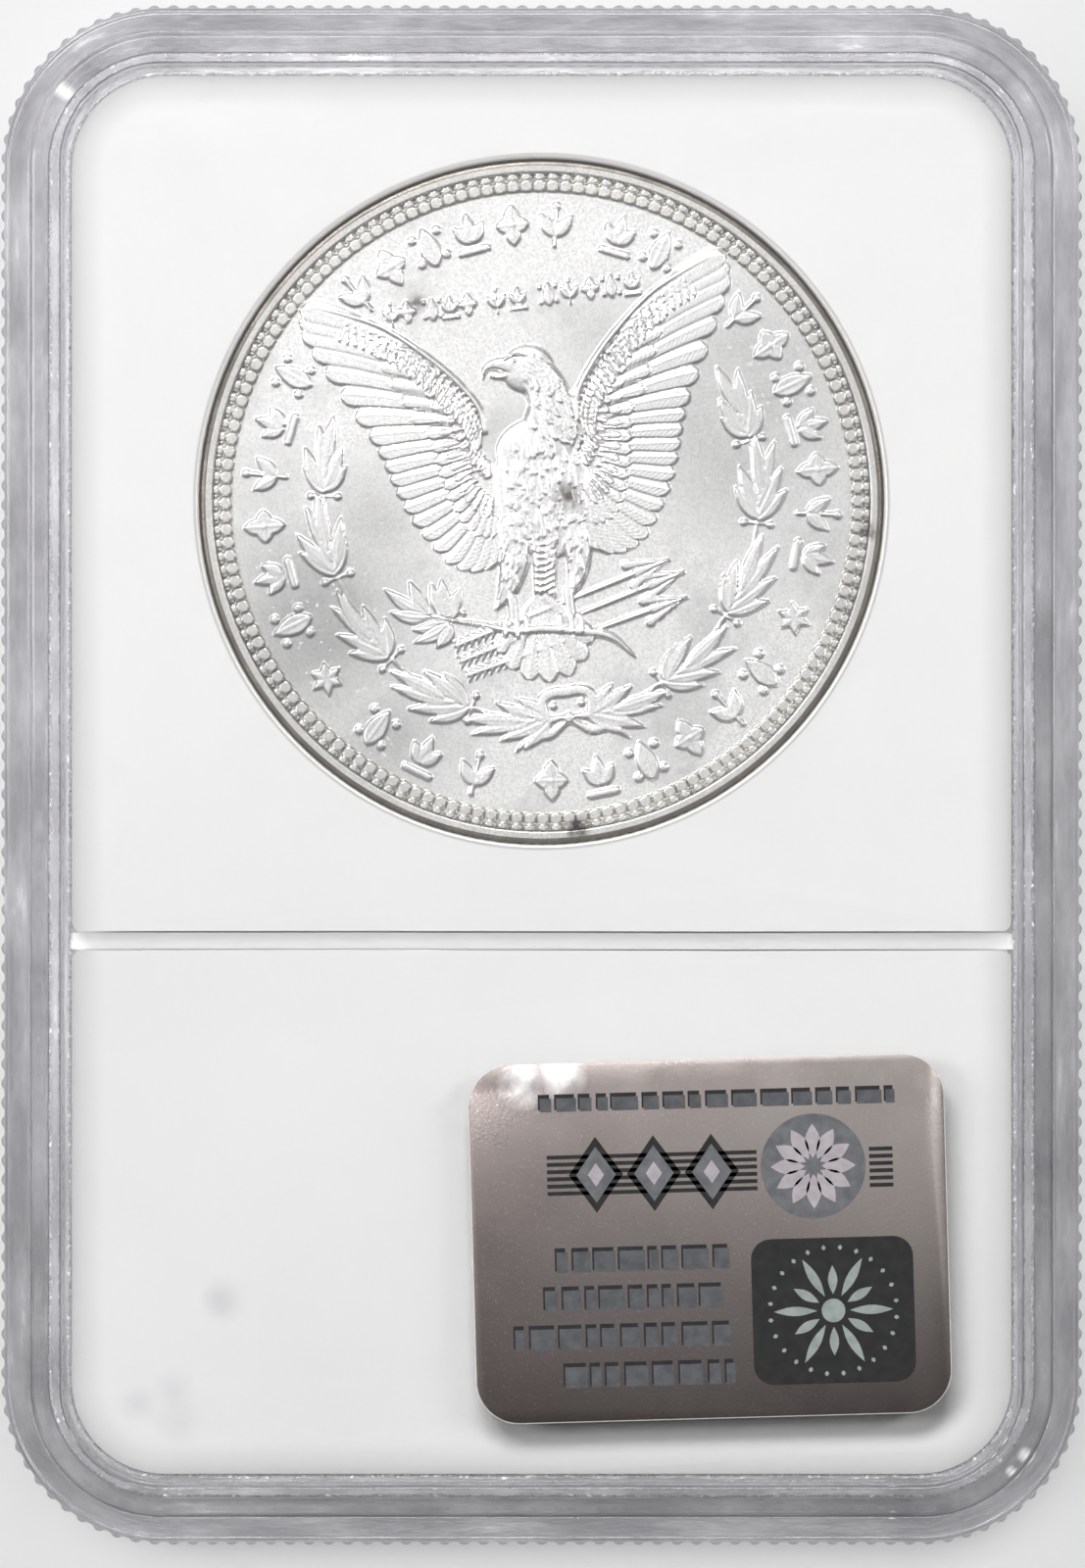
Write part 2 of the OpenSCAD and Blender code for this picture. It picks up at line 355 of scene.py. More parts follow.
def melt_plastic():
    """The melted line along the cavity: clear, with bright flecks."""
    melt = Nodes("melt_line", IOR=1.55)
    flecks = melt.noise(3.2, 2)
    melt.drive("Base Color", melt.ramp(flecks, (0.6, (0.5, 0.495, 0.515)), (0.68, (0.93, 0.93, 0.94))))
    melt.drive("Transmission Weight", melt.ramp(flecks, (0.6, 0.6), (0.68, 0.1)))
    melt.drive("Roughness", melt.ramp(melt.noise(1.5, 3), (0.4, 0.1), (0.6, 0.45)))
    melt.bump(melt.noise(2.2, 3), 0.3, 0.8)
    return melt.material


def white_plastic(name, smudges=()):
    """White plastic, greyed towards the slab's wall by painted shade, with painted shade and shadow round the
    coin's seat.
    """
    white = Nodes(name, Roughness=0.5, IOR=1.48)
    tone = white.ramp(white.noise(0.05), (0.3, (0.955, 0.955, 0.95)), (0.7, (0.98, 0.98, 0.975)))
    # painted shade: greyer within a few millimetres of the slab's wall, where the wall shades the insert
    depth = white.inside(WALL_HALF_W - WALL_W, WALL_HALF_L - WALL_W, WALL_R - WALL_W)
    shade = white.ramp(white.over(depth, 4.0), (0, 0.78), (0.15, 0.9), (0.45, 1))
    tone = white.mix(1.0, tone, shade, "MULTIPLY")
    for centre, radius, soft, grey in smudges:
        uneven = white.times(white.spot(centre, radius, soft), white.noise(0.6, 3))
        tone = white.mix(uneven, tone, (grey, grey, grey * 1.02))
    # painted shade: a grey ring on the seat round the coin
    tone = white.mix(white.spot((0, COIN_Y), COIN_R + 0.3, 0.04), tone, (0.78, 0.775, 0.765))
    # painted shadow: a dark ring in the gap at the edge of the coin's seat
    tone = white.mix(white.spot((0, COIN_Y), COIN_R + 0.02, 0.12), tone, (0.3, 0.27, 0.24))
    white.drive("Base Color", tone)
    white.bump(white.noise(6, 4), 0.01, 0.3)
    return white.material


# the coin's dull patches, toned and partly darkened by painted shade: (place on the slab, radius, soft edge,
# strength)
DULL_AND_SHADED_AREAS = (
    ((-13.0, 8.5), 2.8, 6.0, 0.95),
    ((-8.6, 2.4), 1.0, 5.0, 0.75),
    ((-9.6, 14.3), 0.8, 4.0, 0.75),
    ((-15.0, 16.0), 0.6, 4.0, 0.5),
    ((11.5, 20.5), 3.4, 6.0, 0.75),
    ((15.5, 13.0), 0.6, 4.5, 0.55),
    ((3.5, 24.5), 0.5, 4.0, 0.5),
)
# its dark spots: (place on the slab, radius, soft edge)
TARNISH = (
    ((2.0, -3.0), 0.35, 0.5),
    ((18.3, 13.6), 0.2, 0.5),
    ((1.5, 15.6), 0.2, 0.9),
    ((-6.9, 26.3), 0.1, 0.6),
)


def silver(name, tone=(0.92, 0.915, 0.9), toned=0.0):
    """Struck silver: bright and frosty, with dull field patches darkened partly by painted shade, flecks and,
    at the edge, brown.
    """
    metal = Nodes(name, Metallic=1.0)
    patches = metal.noise(0.16, 5, roughness=0.6)
    dull_and_shade = metal.ramp(patches, (0.36, 0.45), (0.5, 0))
    for centre, radius, soft, strength in DULL_AND_SHADED_AREAS:
        uneven = metal.ramp(patches, (0.35, strength), (0.7, 0.6 * strength))
        dull_and_shade = metal.math("MAXIMUM", dull_and_shade, metal.times(metal.spot(centre, radius, soft), uneven))
    rise = metal.minus(metal.axes()[2], COIN_MID + COIN_HALF - FIELD_DROP)
    on_field = metal.ramp(metal.over(rise, FIELD_DROP), (0.1, 1), (0.5, 0.45))
    dull_and_shade = metal.times(dull_and_shade, on_field)
    flecks = metal.ramp(metal.noise(2.2, 3), (0.64, 0), (0.7, 0.8))
    # painted shade: the dull patches darken the colour, partly real toning and partly standing in for the
    # lustre's dark sectors
    colour = metal.mix(dull_and_shade, tone, tuple(0.4 * c for c in tone))
    colour = metal.mix(metal.times(flecks, dull_and_shade), colour, (0.96, 0.96, 0.95))
    colour = metal.mix(1.0, colour, metal.ramp(metal.noise(8, 2), (0.35, 0.84), (0.6, 1)), "MULTIPLY")
    if toned:
        brown = metal.ramp(metal.noise(0.6, 5), (0.35, (0.085, 0.073, 0.062)), (0.65, (0.2, 0.178, 0.15)))
        colour = metal.mix(toned, colour, brown)
    metal.drive("Roughness", metal.ramp(dull_and_shade, (0, 0.26), (1, 0.4)))
    for centre, radius, soft in TARNISH:
        uneven = metal.ramp(metal.noise(2, 3), (0.35, 0.3), (0.6, 1))
        blot = metal.times(metal.spot(centre, radius, soft), uneven)
        colour = metal.mix(blot, colour, (0.12, 0.1, 0.09))
    metal.drive("Base Color", colour)
    frost = metal.plus(metal.times(metal.noise(3.2, 3), 0.7), metal.noise(9, 2))
    metal.bump(frost, 0.006, 0.5)
    return metal.material


# ---------------- the clear shells
def wall_stations():
    """Points and outward directions round the plain wall, and each point's share of a grip bead's height."""
    straight_w, straight_l = WALL_HALF_W - WALL_R, WALL_HALF_L - WALL_R
    counts = [
        round(2 * straight_w / BEAD_PITCH),
        round(WALL_R * math.pi / 2 / BEAD_PITCH),
        round(2 * straight_l / BEAD_PITCH),
    ]
    across, corner, along = (n * BEAD_STEPS for n in counts)
    phase = (np.arange(BEAD_STEPS) / BEAD_STEPS - 0.5) * BEAD_PITCH
    sunk = BEAD_R - BEAD_PROUD
    bead = np.sqrt(np.maximum(BEAD_R**2 - phase**2, sunk**2)) - sunk
    places, ways = [], []
    for quarter in range(4):
        wide = quarter % 2 == 0
        steps = across if wide else along
        half, depth = (straight_w, WALL_HALF_L) if wide else (straight_l, WALL_HALF_W)
        turn = quarter * math.pi / 2
        c, s = math.cos(turn), math.sin(turn)
        line = half - 2 * half * np.arange(steps) / steps
        local = np.stack([line, np.full(steps, depth)], 1)
        facing = np.tile([0.0, 1.0], (steps, 1))
        angle = math.pi / 2 * (1 + np.arange(corner) / corner)
        bend = np.stack([np.cos(angle), np.sin(angle)], 1)
        local = np.concatenate([local, bend * WALL_R + [-half, depth - WALL_R]])
        facing = np.concatenate([facing, bend])
        spin = np.array([[c, s], [-s, c]])
        places.append(local @ spin)
        ways.append(facing @ spin)
    places, ways = np.concatenate(places), np.concatenate(ways)
    return places, ways, np.tile(bead, len(places) // BEAD_STEPS)


PLACES, WAYS, BEADS = wall_stations()
STATIONS = len(PLACES)
LAP = np.arange(STATIONS) / STATIONS * 2 * math.pi
WELD_WAVES = ((23, 1.3, 1), (41, 0.4, 1), (97, 0, 0.8), (211, 2, 0.6))  # waves round the slab, phase, share


def wall_ring(inset, z, bead=0.0, wander=0.0):
    """One ring of points at a distance inside the plain wall. wander moves it in and out, as a weld does."""
    wobble = wander * sum(share * np.sin(waves * LAP + phase) for waves, phase, share in WELD_WAVES)
    flat = PLACES + WAYS * (BEADS * bead - inset + wobble)[:, None]
    return np.concatenate([flat, np.full((STATIONS, 1), z)], 1)


def ribbed_face(ring_start, ring, first, z_rib):
    """Closes the inner face of a window round the rib that stands on it. Returns the new points and faces."""
    z = ring[0, 2]
    reach = WALL_HALF_W - WALL_W
    near, far = RIB_Y - RIB_W / 2, RIB_Y + RIB_W / 2
    outline = [(reach, RIB_Y), (reach, far), (-reach, far), (-reach, RIB_Y), (-reach, near), (reach, near)]
    points = [(x, y, z) for x, y in outline] + [(x, y, z_rib) for x, y in outline]
    order = sorted(range(STATIONS), key=lambda i: math.atan2(ring[i, 1] - RIB_Y, ring[i, 0]))
    upper = [i for i in order if ring[i, 1] > RIB_Y]
    lower = [i for i in order if ring[i, 1] <= RIB_Y]
    a = [ring_start + i for i in upper] + [first + k for k in (3, 2, 1, 0)]
    b = [ring_start + i for i in lower] + [first + k for k in (0, 5, 4, 3)]
    # the two halves share the line between the rib's ends and the wall
    right, left = ring_start + lower[-1], ring_start + lower[0]
    a = [right] + a[: len(upper)] + [left] + a[len(upper) :]
    return points, [tuple(a), tuple(b)] + ring_faces(6, 2, first) + [tuple(range(first + 6, first + 12))]


CLEAR, RIM, WELD, MELT, BEAD, RIB = range(6)  # the shells' material slots


def supported(rows):
    """Adds a ring close to each end of every wide flat band, so that smooth shading leaves the band flat."""
    full = [(*row, *(0, 0, RIM)[len(row) - 2 :]) for row in rows]
    edge, out = 0.05, [full[0]]
    for before, after in zip(full, full[1:]):
        length = math.hypot(after[0] - before[0], after[1] - before[1])
        if length > 0.25:
            for share, end in ((edge / length, before), (1 - edge / length, after)):
                place = [before[k] + (after[k] - before[k]) * share for k in (0, 1)]
                out.append((*place, 0, end[3], after[4]))
        out.append(after)
    return out


def make_shell(name, node, rows, inner_first, z_rib, materials):
    """A window plate with its rim, from rings of (inset, z, bead, wander, material), closed at both ends."""
    rows = supported(rows)
    rings = [wall_ring(*row[:4]) for row in rows]
    verts = np.concatenate(rings)
    faces = ring_faces(STATIONS, len(rings))
    smooth = len(faces)
    last = (len(rings) - 1) * STATIONS
    inner, outer = (0, last) if inner_first else (last, 0)
    points, caps = ribbed_face(inner, verts[inner : inner + STATIONS], len(verts), z_rib)
    verts = np.concatenate([verts, points])
    faces += caps + [tuple(range(outer, outer + STATIONS))]
    slots = [row[4] for row in rows[1:] for _ in range(STATIONS)] + [CLEAR, CLEAR] + [RIM] * 6 + [RIB, CLEAR]
    shell = make_piece(name, verts, faces, materials, node, smooth, slots)
    reach = STATIONS * BEAD_PITCH / BEAD_STEPS / (2 * math.pi)
    around = reach * np.stack([np.cos(LAP), np.sin(LAP)], 1)
    levels = np.repeat([4 * (row[0] + row[1]) for row in rows], STATIONS)
    along = np.column_stack([np.tile(around, (len(rows), 1)), levels])
    along = np.concatenate([along, np.zeros((len(points), 3))]) * MM
    shell.data.attributes.new("along_wall", "FLOAT_VECTOR", "POINT").data.foreach_set("vector", along.ravel())
    tidy_normals(shell)
    shell.visible_shadow = False
    return shell


def tidy_normals(piece):
    bm = bmesh.new()
    bm.from_mesh(piece.data)
    bmesh.ops.recalc_face_normals(bm, faces=bm.faces)
    bm.to_mesh(piece.data)
    bm.free()


def bead_rows(z_lo, z_hi):
    """Rings up the outer wall, with the grip beads between z_lo and z_hi."""
    soft = 0.12
    steps = ((z_lo, 0.5), (z_lo + soft, 1), (z_hi - soft, 1), (z_hi, 0.5), (z_hi + 0.01, 0))
    return [(0, z_lo - 0.01, 0)] + [(0, z, bead, 0, BEAD) for z, bead in steps]


def add_shells():
    weld = 0.03
    slit = 0.02
    back = [
        (TONGUE_IN - 0.05, CAVITY_HI),
        (TONGUE_IN - 0.05, PARTING_Z + 0.1, 0, weld, WELD),
        (TONGUE_IN - 0.15, PARTING_Z, 0, weld, WELD),
        (0.08, PARTING_Z, 0, 0, WELD),
        (0.0, PARTING_Z + 0.08),
        *bead_rows(PARTING_Z + 0.2, FLANGE_Z - 0.3),
        (0.0, FLANGE_Z - 0.2),
        (0.06, FLANGE_Z - 0.06),
        (0.2, FLANGE_Z),
        (FLANGE_W - 0.1, FLANGE_Z),
        (FLANGE_W - 0.03, FLANGE_Z + 0.03),
        (FLANGE_W, FLANGE_Z + 0.1),
        (FLANGE_W, TOP_Z - 0.5),
        (FLANGE_W + 0.04, TOP_Z - 0.3),
        (FLANGE_W + 0.15, TOP_Z - 0.13),
        (FLANGE_W + 0.34, TOP_Z - 0.03),
        (FLANGE_W + 0.6, TOP_Z),
        (WALL_W - 0.5, TOP_Z),
        (WALL_W - 0.32, TOP_Z - 0.06),
        (WALL_W - 0.22, TOP_Z - 0.22),
        (WALL_W - 0.18, BACK_FACE_Z + 0.12),
        (WALL_W - 0.14, BACK_FACE_Z + 0.03),
        (WALL_W - 0.03, BACK_FACE_Z),
    ]
    front = [
        (FLANGE_W + 0.1, FRONT_FACE_Z),
        (FLANGE_W - 0.02, FRONT_FACE_Z - 0.03),
        (FLANGE_W - 0.05, FRONT_FACE_Z - 0.12),
        (FLANGE_W - 0.05, 0.15),
        (FLANGE_W - 0.1, 0.05),
        (FLANGE_W - 0.2, 0.0),
        (0.25, 0.0),
        (0.08, 0.08),
        (0.0, 0.25),
        *bead_rows(0.5, PARTING_Z - 0.2),
        (0.0, PARTING_Z - 0.08 - slit),
        (0.08, PARTING_Z - slit),
        (TONGUE_IN - 0.1, PARTING_Z - slit, 0, weld, WELD),
        (TONGUE_IN, PARTING_Z + 0.1, 0, weld, MELT),
        (TONGUE_IN, CAVITY_HI - 0.25, 0, 0.01, MELT),
        (TONGUE_IN + 0.15, CAVITY_HI - 0.12, 0, weld, MELT),
        (WALL_W - 0.15, CAVITY_HI - 0.12, 0, weld, WELD),
        (WALL_W, CAVITY_HI - 0.3, 0, 0.01, MELT),
        (WALL_W, CAVITY_LO, 0, 0, CLEAR),
    ]
    materials = [
        clear_plastic("clear_plastic", (0.99, 0.99, 0.995)),
        # the rim's lilac grey tint is partly the plastic's own and partly painted shade for the shadow the
        # rim, casting none, leaves out
        clear_plastic("rim_plastic", (0.93, 0.925, 0.95)),
        weld_plastic(),
        melt_plastic(),
        clear_plastic("bead_plastic", (0.5, 0.495, 0.515), 0.6),
        clear_plastic("rib_plastic", (0.99, 0.99, 0.99), 1.0),
    ]
    make_shell("back_cover", "back_shell", back, True, PARTING_Z + 0.05, materials)
    make_shell("front_cover", "front_shell", front, False, PARTING_Z - 0.05, materials)


# ---------------- relief
def smooth_step(x):
    x = np.clip(x, 0, 1)
    return x * x * (3 - 2 * x)


def curve(points, share):
    """A smooth curve through given points, at shares from 0 to 1 of their number."""
    p = np.array(points, float)
    p = np.concatenate([[2 * p[0] - p[1]], p, [2 * p[-1] - p[-2]]])
    at = np.clip(np.asarray(share, float), 0, 1) * (len(points) - 1)
    k = np.minimum(at.astype(int), len(points) - 2)
    t = (at - k)[..., None]
    a, b, c, d = p[k], p[k + 1], p[k + 2], p[k + 3]
    return 0.5 * (2 * b + (c - a) * t + (2 * a - 5 * b + 4 * c - d) * t**2 + (3 * b - a - 3 * c + d) * t**3)


class Relief:
    """Heights over scattered points, built up from strokes. Where two strokes meet, the higher one shows."""

    def __init__(self, x, y):
        self.x, self.y, self.h = x, y, np.zeros_like(x)

    def near(self, centre, reach, start=None):
        """Which points are near the centre, and where they lie from start, or else from the centre."""
        close = (np.abs(self.x - centre[0]) < reach) & (np.abs(self.y - centre[1]) < reach)
        at = np.nonzero(close)[0]
        x, y = centre if start is None else start
        return at, self.x[at] - x, self.y[at] - y

    def put(self, at, height):
        self.h[at] = np.maximum(self.h[at], height)

    def stroke(self, start, end, half_width, rise, kind="feather", bow=0.0, tilt=0.0, low=0.4):
        """A feather or leaf from start to end, laid over what is there, with a groove round it.

        tilt lifts one long edge, and low is the root's share of the rise.
        """
        start, end = np.array(start, float), np.array(end, float)
        away = end - start
        length = np.hypot(*away)
        ahead = away / length
        at, px, py = self.near((start + end) / 2, length / 2 + half_width + abs(bow) + 0.05, start)
        s = (px * ahead[0] + py * ahead[1]) / length
        off = py * ahead[0] - px * ahead[1] - bow * 4 * s * (1 - s)
        inside_s = np.clip(s, 0, 1)
        if kind == "leaf":
            edge = half_width * np.sin(np.pi * inside_s**0.8) ** 0.8
        else:
            tip = max(1 - 1.2 * half_width / length, 0.3)
            end_round = np.sqrt(np.clip(1 - ((s - tip) / (1 - tip)) ** 2, 0, 1))
            edge = half_width * np.where(s > tip, end_round, 0.5 + 0.5 * inside_s / tip)
        edge = np.where((s > 0) & (s < 1), edge, 0)
        depth = np.minimum(edge - np.abs(off), s * length)
        across = off / np.maximum(edge, 0.05)
        height = rise * (low + (1 - low) * inside_s) * (1 - 0.25 * across**2 + tilt * across)
        if kind == "leaf":
            height = rise * (0.8 + 0.2 * np.abs(across)) + 0.035 * np.exp(-((off / 0.07) ** 2))
        else:
            slant = s * length / 0.3 + np.abs(off) / 0.25
            height = height + 0.02 * np.exp(-((off / 0.06) ** 2)) + 0.008 * np.sin(2 * np.pi * slant)
        groove = smooth_step(depth / 0.08)
        top = smooth_step((depth - 0.03) / 0.1)
        under = self.h[at] * (1 - groove) + 0.55 * height * groove
        self.h[at] = under * (1 - top) + height * top

    def tube(self, points, half_widths, rises, soft=0.12, steps=0):
        """A rounded bar along a line of points, with a half width and a rise at each."""
        if steps:
            share = np.linspace(0, 1, steps)
            knots = np.linspace(0, 1, len(points))
            half_widths = np.interp(share, knots, np.broadcast_to(half_widths, len(points)))
            rises = np.interp(share, knots, np.broadcast_to(rises, len(points)))
            points = curve(points, share)
        points = np.array(points, float)
        half_widths = np.broadcast_to(half_widths, len(points))
        rises = np.broadcast_to(rises, len(points))
        for a, b, w0, w1, h0, h1 in zip(points, points[1:], half_widths, half_widths[1:], rises, rises[1:]):
            away = b - a
            length = max(np.hypot(*away), 1e-6)
            at, px, py = self.near((a + b) / 2, length / 2 + max(w0, w1) + 0.05, a)
            t = np.clip((px * away[0] + py * away[1]) / length**2, 0, 1)
            gap = np.hypot(px - t * away[0], py - t * away[1])
            width = w0 + (w1 - w0) * t
            crown = 1 - 0.3 * np.clip(gap / width, 0, 1) ** 2
            self.put(at, (h0 + (h1 - h0) * t) * crown * smooth_step((width - gap) / soft))

    def bead(self, centre, radius, rise, soft=0.1):
        self.tube([centre, centre], radius, rise, soft)

    def mound(self, centre, half_axes, turn, rise):
        """A smooth oval swelling, turned by an angle in degrees."""
        at, px, py = self.near(centre, max(half_axes))
        c, s = math.cos(math.radians(turn)), math.sin(math.radians(turn))
        u, v = (px * c + py * s) / half_axes[0], (py * c - px * s) / half_axes[1]
        self.put(at, rise * np.sqrt(np.clip(1 - u**2 - v**2, 0, 1)) ** 0.9)

    def star(self, centre, radius, rise, tips=6, turn=0.0, inner=0.58):
        """A star with a ridge to each tip."""
        at, px, py = self.near(centre, radius)
        r = np.hypot(px, py)
        turn_share = (np.arctan2(py, px) - turn) / (2 * np.pi) * tips
        a = np.abs(turn_share - np.round(turn_share)) * 2 * np.pi / tips
        half = np.pi / tips
        # the edge from a tip to the next notch is a straight line
        edge = radius * inner * np.sin(half) / (inner * np.sin(half - a) + np.sin(a) + 1e-9)
        edge = np.where(a > half, 0, edge)
        inside = edge - r
        self.put(at, rise * smooth_step(inside / 0.12) * (0.75 + 0.25 * (1 - np.clip(a / half, 0, 1))))


def polar(radius, degrees):
    """A point at an angle clockwise from the top of the coin."""
    a = math.radians(degrees)
    return np.array([radius * math.sin(a), radius * math.cos(a)])


FIELD_R = 17.2  # the field ends here and the border begins
RIM_R = 18.36  # the plain rim begins here
EDGE_R = 18.7  # the toned outer band begins here
DENTILS = 152
REEDS = 189
LEGEND_R = 15.5
WREATH_R = 12.1
FLIGHT_FEATHERS = 21

# the right wing; the left one is its mirror image
WING_TIPS = [
    (11.9, 12.4), (12.05, 11.2), (11.2, 9.3), (10.0, 6.8), (8.9, 4.6), (8.35, 3.0),
    (7.95, 1.6), (7.35, 0.0), (6.5, -1.5), (5.4, -2.9), (4.2, -3.4), (3.1, -3.1),
]
WING_ROOTS = [
    (5.7, 8.9), (5.2, 7.9), (4.7, 6.6), (4.3, 5.4), (4.1, 4.3), (4.0, 3.2),
    (3.9, 2.1), (3.8, 1.2), (3.6, 0.3), (3.3, -0.3), (2.9, -0.6), (2.5, -0.7),
]
WING_EDGE = [
    (2.6, 4.3), (2.75, 5.6), (3.6, 7.0), (5.1, 8.7), (7.3, 10.6), (9.2, 11.6), (11.0, 12.3), (11.9, 12.35),
]


def draw_wing(relief, side):
    """One raised wing: flight feathers, two rows of coverts over them, and the arm along the leading edge."""

    def place(point):
        return np.array([side * point[0], point[1]])

    count = FLIGHT_FEATHERS
    for i in reversed(range(count)):
        t = i / (count - 1)
        tip, root = place(curve(WING_TIPS, t)), place(curve(WING_ROOTS, t))
        long = i < 8
        bow = side * (0.5 - 0.9 * t) * 0.7
        relief.stroke(root, tip, 0.74 if long else 0.6, 0.15, bow=bow, tilt=-0.28 * side, low=0.95)
    for i in reversed(range(18)):
        t = (i + 0.4) / 18
        tip, root = curve(WING_TIPS, t), curve(WING_ROOTS, t)
        reach = 0.44 if i < 6 else 0.36
        relief.stroke(
            place(root - 0.1 * (tip - root)), place(root + reach * (tip - root)), 0.42, 0.195,
            tilt=-0.25 * side, low=0.8, bow=side * 0.1,
        )
    for row, (reach, width, rise) in enumerate(((1.3, 0.3, 0.225), (1.0, 0.26, 0.25))):
        for i in range(17):
            t = (i + 0.5 * row) / 17
            tip, root = curve(WING_TIPS, t), curve(WING_ROOTS, t)
            ahead = (tip - root) / np.hypot(*(tip - root))
            inward = curve(WING_EDGE, 0.55 - 0.5 * t) - root
            start = root + 0.35 * (row + 0.6) * inward - 0.2 * ahead
            relief.stroke(place(start), place(start + ahead * reach), width, rise, tilt=-0.3 * side)
    for row in range(3):
        for i in range(22):
            t = (i + 0.5 * (row % 2)) / 22
            root = curve(WING_EDGE, 0.72 - 0.72 * t) + np.array([0.16 + 0.24 * row, -0.2 - 0.2 * row])
            ahead = curve(WING_TIPS, 0.25 + 0.6 * t) - root
            ahead /= np.hypot(*ahead)
            end = root + ahead * (1.05 - 0.12 * row)
            relief.stroke(place(root), place(end), 0.23, 0.3 - 0.02 * row, low=0.6)
    relief.tube([place(p) for p in WING_EDGE], [0.2, 0.22, 0.22, 0.2, 0.18, 0.17, 0.16, 0.14],
                [0.29, 0.31, 0.29, 0.26, 0.22, 0.2, 0.18, 0.16], 0.1, steps=40)


def scatter_feathers(relief, dice, count, region, heading, length, half_width, rise):
    """Small overlapping feathers at random places inside region(x, y), each pointing along heading(x, y)."""
    placed = 0
    while placed < count:
        x, y = dice.uniform(-4, 4), dice.uniform(-8, 9)
        if not region(x, y):
            continue
        placed += 1
        angle = heading(x, y) + dice.uniform(-0.22, 0.22)
        size = length * dice.uniform(0.75, 1.2)
        end = (x + size * math.cos(angle), y + size * math.sin(angle))
        half = half_width * dice.uniform(0.8, 1.2)
        relief.stroke((x, y), end, half, rise, low=0.15, tilt=dice.uniform(-0.3, 0.3))


def draw_bird(relief):
    """The bird's body, neck, head, legs and tail, in front of its wings."""
    dice = np.random.default_rng(7)
    body = Relief(relief.x, relief.y)
    body.mound((0.25, 0.7), (2.75, 3.9), 0, 0.3)
    body.mound((0.35, 3.1), (2.5, 1.7), 4, 0.3)
    body.tube([(1.1, 3.9), (1.3, 5.2), (1.0, 6.4), (0.5, 7.2)],
              [1.75, 1.4, 1.25, 1.2], [0.3, 0.3, 0.31, 0.3], 0.35, 12)
    body.mound((0.25, 7.45), (1.5, 1.35), -10, 0.33)
    body.tube([(-1.7, -1.2), (-1.9, -3.0), (-2.4, -4.4), (-3.2, -5.5)],
              [1.0, 0.95, 0.7, 0.25], [0.26, 0.24, 0.2, 0.12], 0.3, 10)
    body.tube([(1.4, -1.4), (1.7, -3.0), (1.4, -4.4), (0.8, -5.5)],
              [0.95, 0.85, 0.6, 0.3], [0.26, 0.24, 0.2, 0.14], 0.3, 10)
    body.tube([(-0.1, -2.0), (-0.3, -4.0), (-0.6, -6.6)], [0.8, 0.72, 0.7], [0.22, 0.2, 0.17], 0.2, 8)
    plumage = Relief(relief.x, relief.y)
    scatter_feathers(
        plumage, dice, 150, lambda x, y: abs(x - 0.3) < 2.3 and -2.6 < y < 4.0,
        lambda x, y: math.radians(-90 - 5 * (x - 0.3)), 1.0, 0.2, 0.06,
    )
    scatter_feathers(
        plumage, dice, 60, lambda x, y: 0.0 < x < 2.6 and 3.9 < y < 7.6,
        lambda x, y: math.radians(-70 + 9 * (x - 1)), 1.2, 0.22, 0.09,
    )
    scatter_feathers(
        plumage, dice, 30, lambda x, y: -0.4 < x < 1.6 and 6.8 < y < 8.6,
        lambda x, y: math.radians(-35), 0.7, 0.13, 0.05,
    )
    for side, lean in ((-1, -112), (1, -92)):
        scatter_feathers(
            plumage, dice, 45, lambda x, y, side=side: abs(x - side * 1.6 + 0.3) < 1.0 and -5.2 < y < -1.5,
            lambda x, y, lean=lean: math.radians(lean), 0.9, 0.17, 0.06,
        )
    for i in range(9):
        y = -2.3 - 0.36 * i
        plumage.tube([(-0.85 - 0.04 * i, y + 0.12), (-0.2 - 0.06 * i, y - 0.1), (0.45 - 0.06 * i, y + 0.12)],
                     0.1, 0.07, 0.09, 6)
    relief.put(slice(None), np.where(body.h > 0.03, body.h + plumage.h * smooth_step(body.h / 0.1), body.h))
    # tail fan
    for angle, length in ((-40, 4.0), (-26, 4.5), (-12, 4.8), (2, 4.9), (16, 4.8), (30, 4.4), (44, 3.9)):
        a = math.radians(angle - 94)
        start = np.array([-0.65, -5.1])
        end = start + length * np.array([math.cos(a), math.sin(a)])
        relief.stroke(start, end, 0.62, 0.15 + 0.02 * math.cos(a), tilt=0.2, low=0.7)
    # beak and eye
    relief.tube([(-0.7, 7.75), (-1.5, 7.95), (-2.1, 7.75), (-2.33, 7.2)],
                [0.5, 0.36, 0.24, 0.08], [0.3, 0.27, 0.22, 0.14], 0.14, 12)
    relief.tube([(-0.6, 7.3), (-1.3, 7.2), (-1.85, 7.3)], [0.26, 0.2, 0.12], [0.24, 0.2, 0.14], 0.12, 8)
    relief.tube([(0.3, 8.15), (-0.4, 8.3), (-1.05, 8.1)], [0.1, 0.14, 0.1], [0.36, 0.39, 0.34], 0.1, 8)
    relief.bead((-0.45, 7.98), 0.17, 0.38, 0.08)


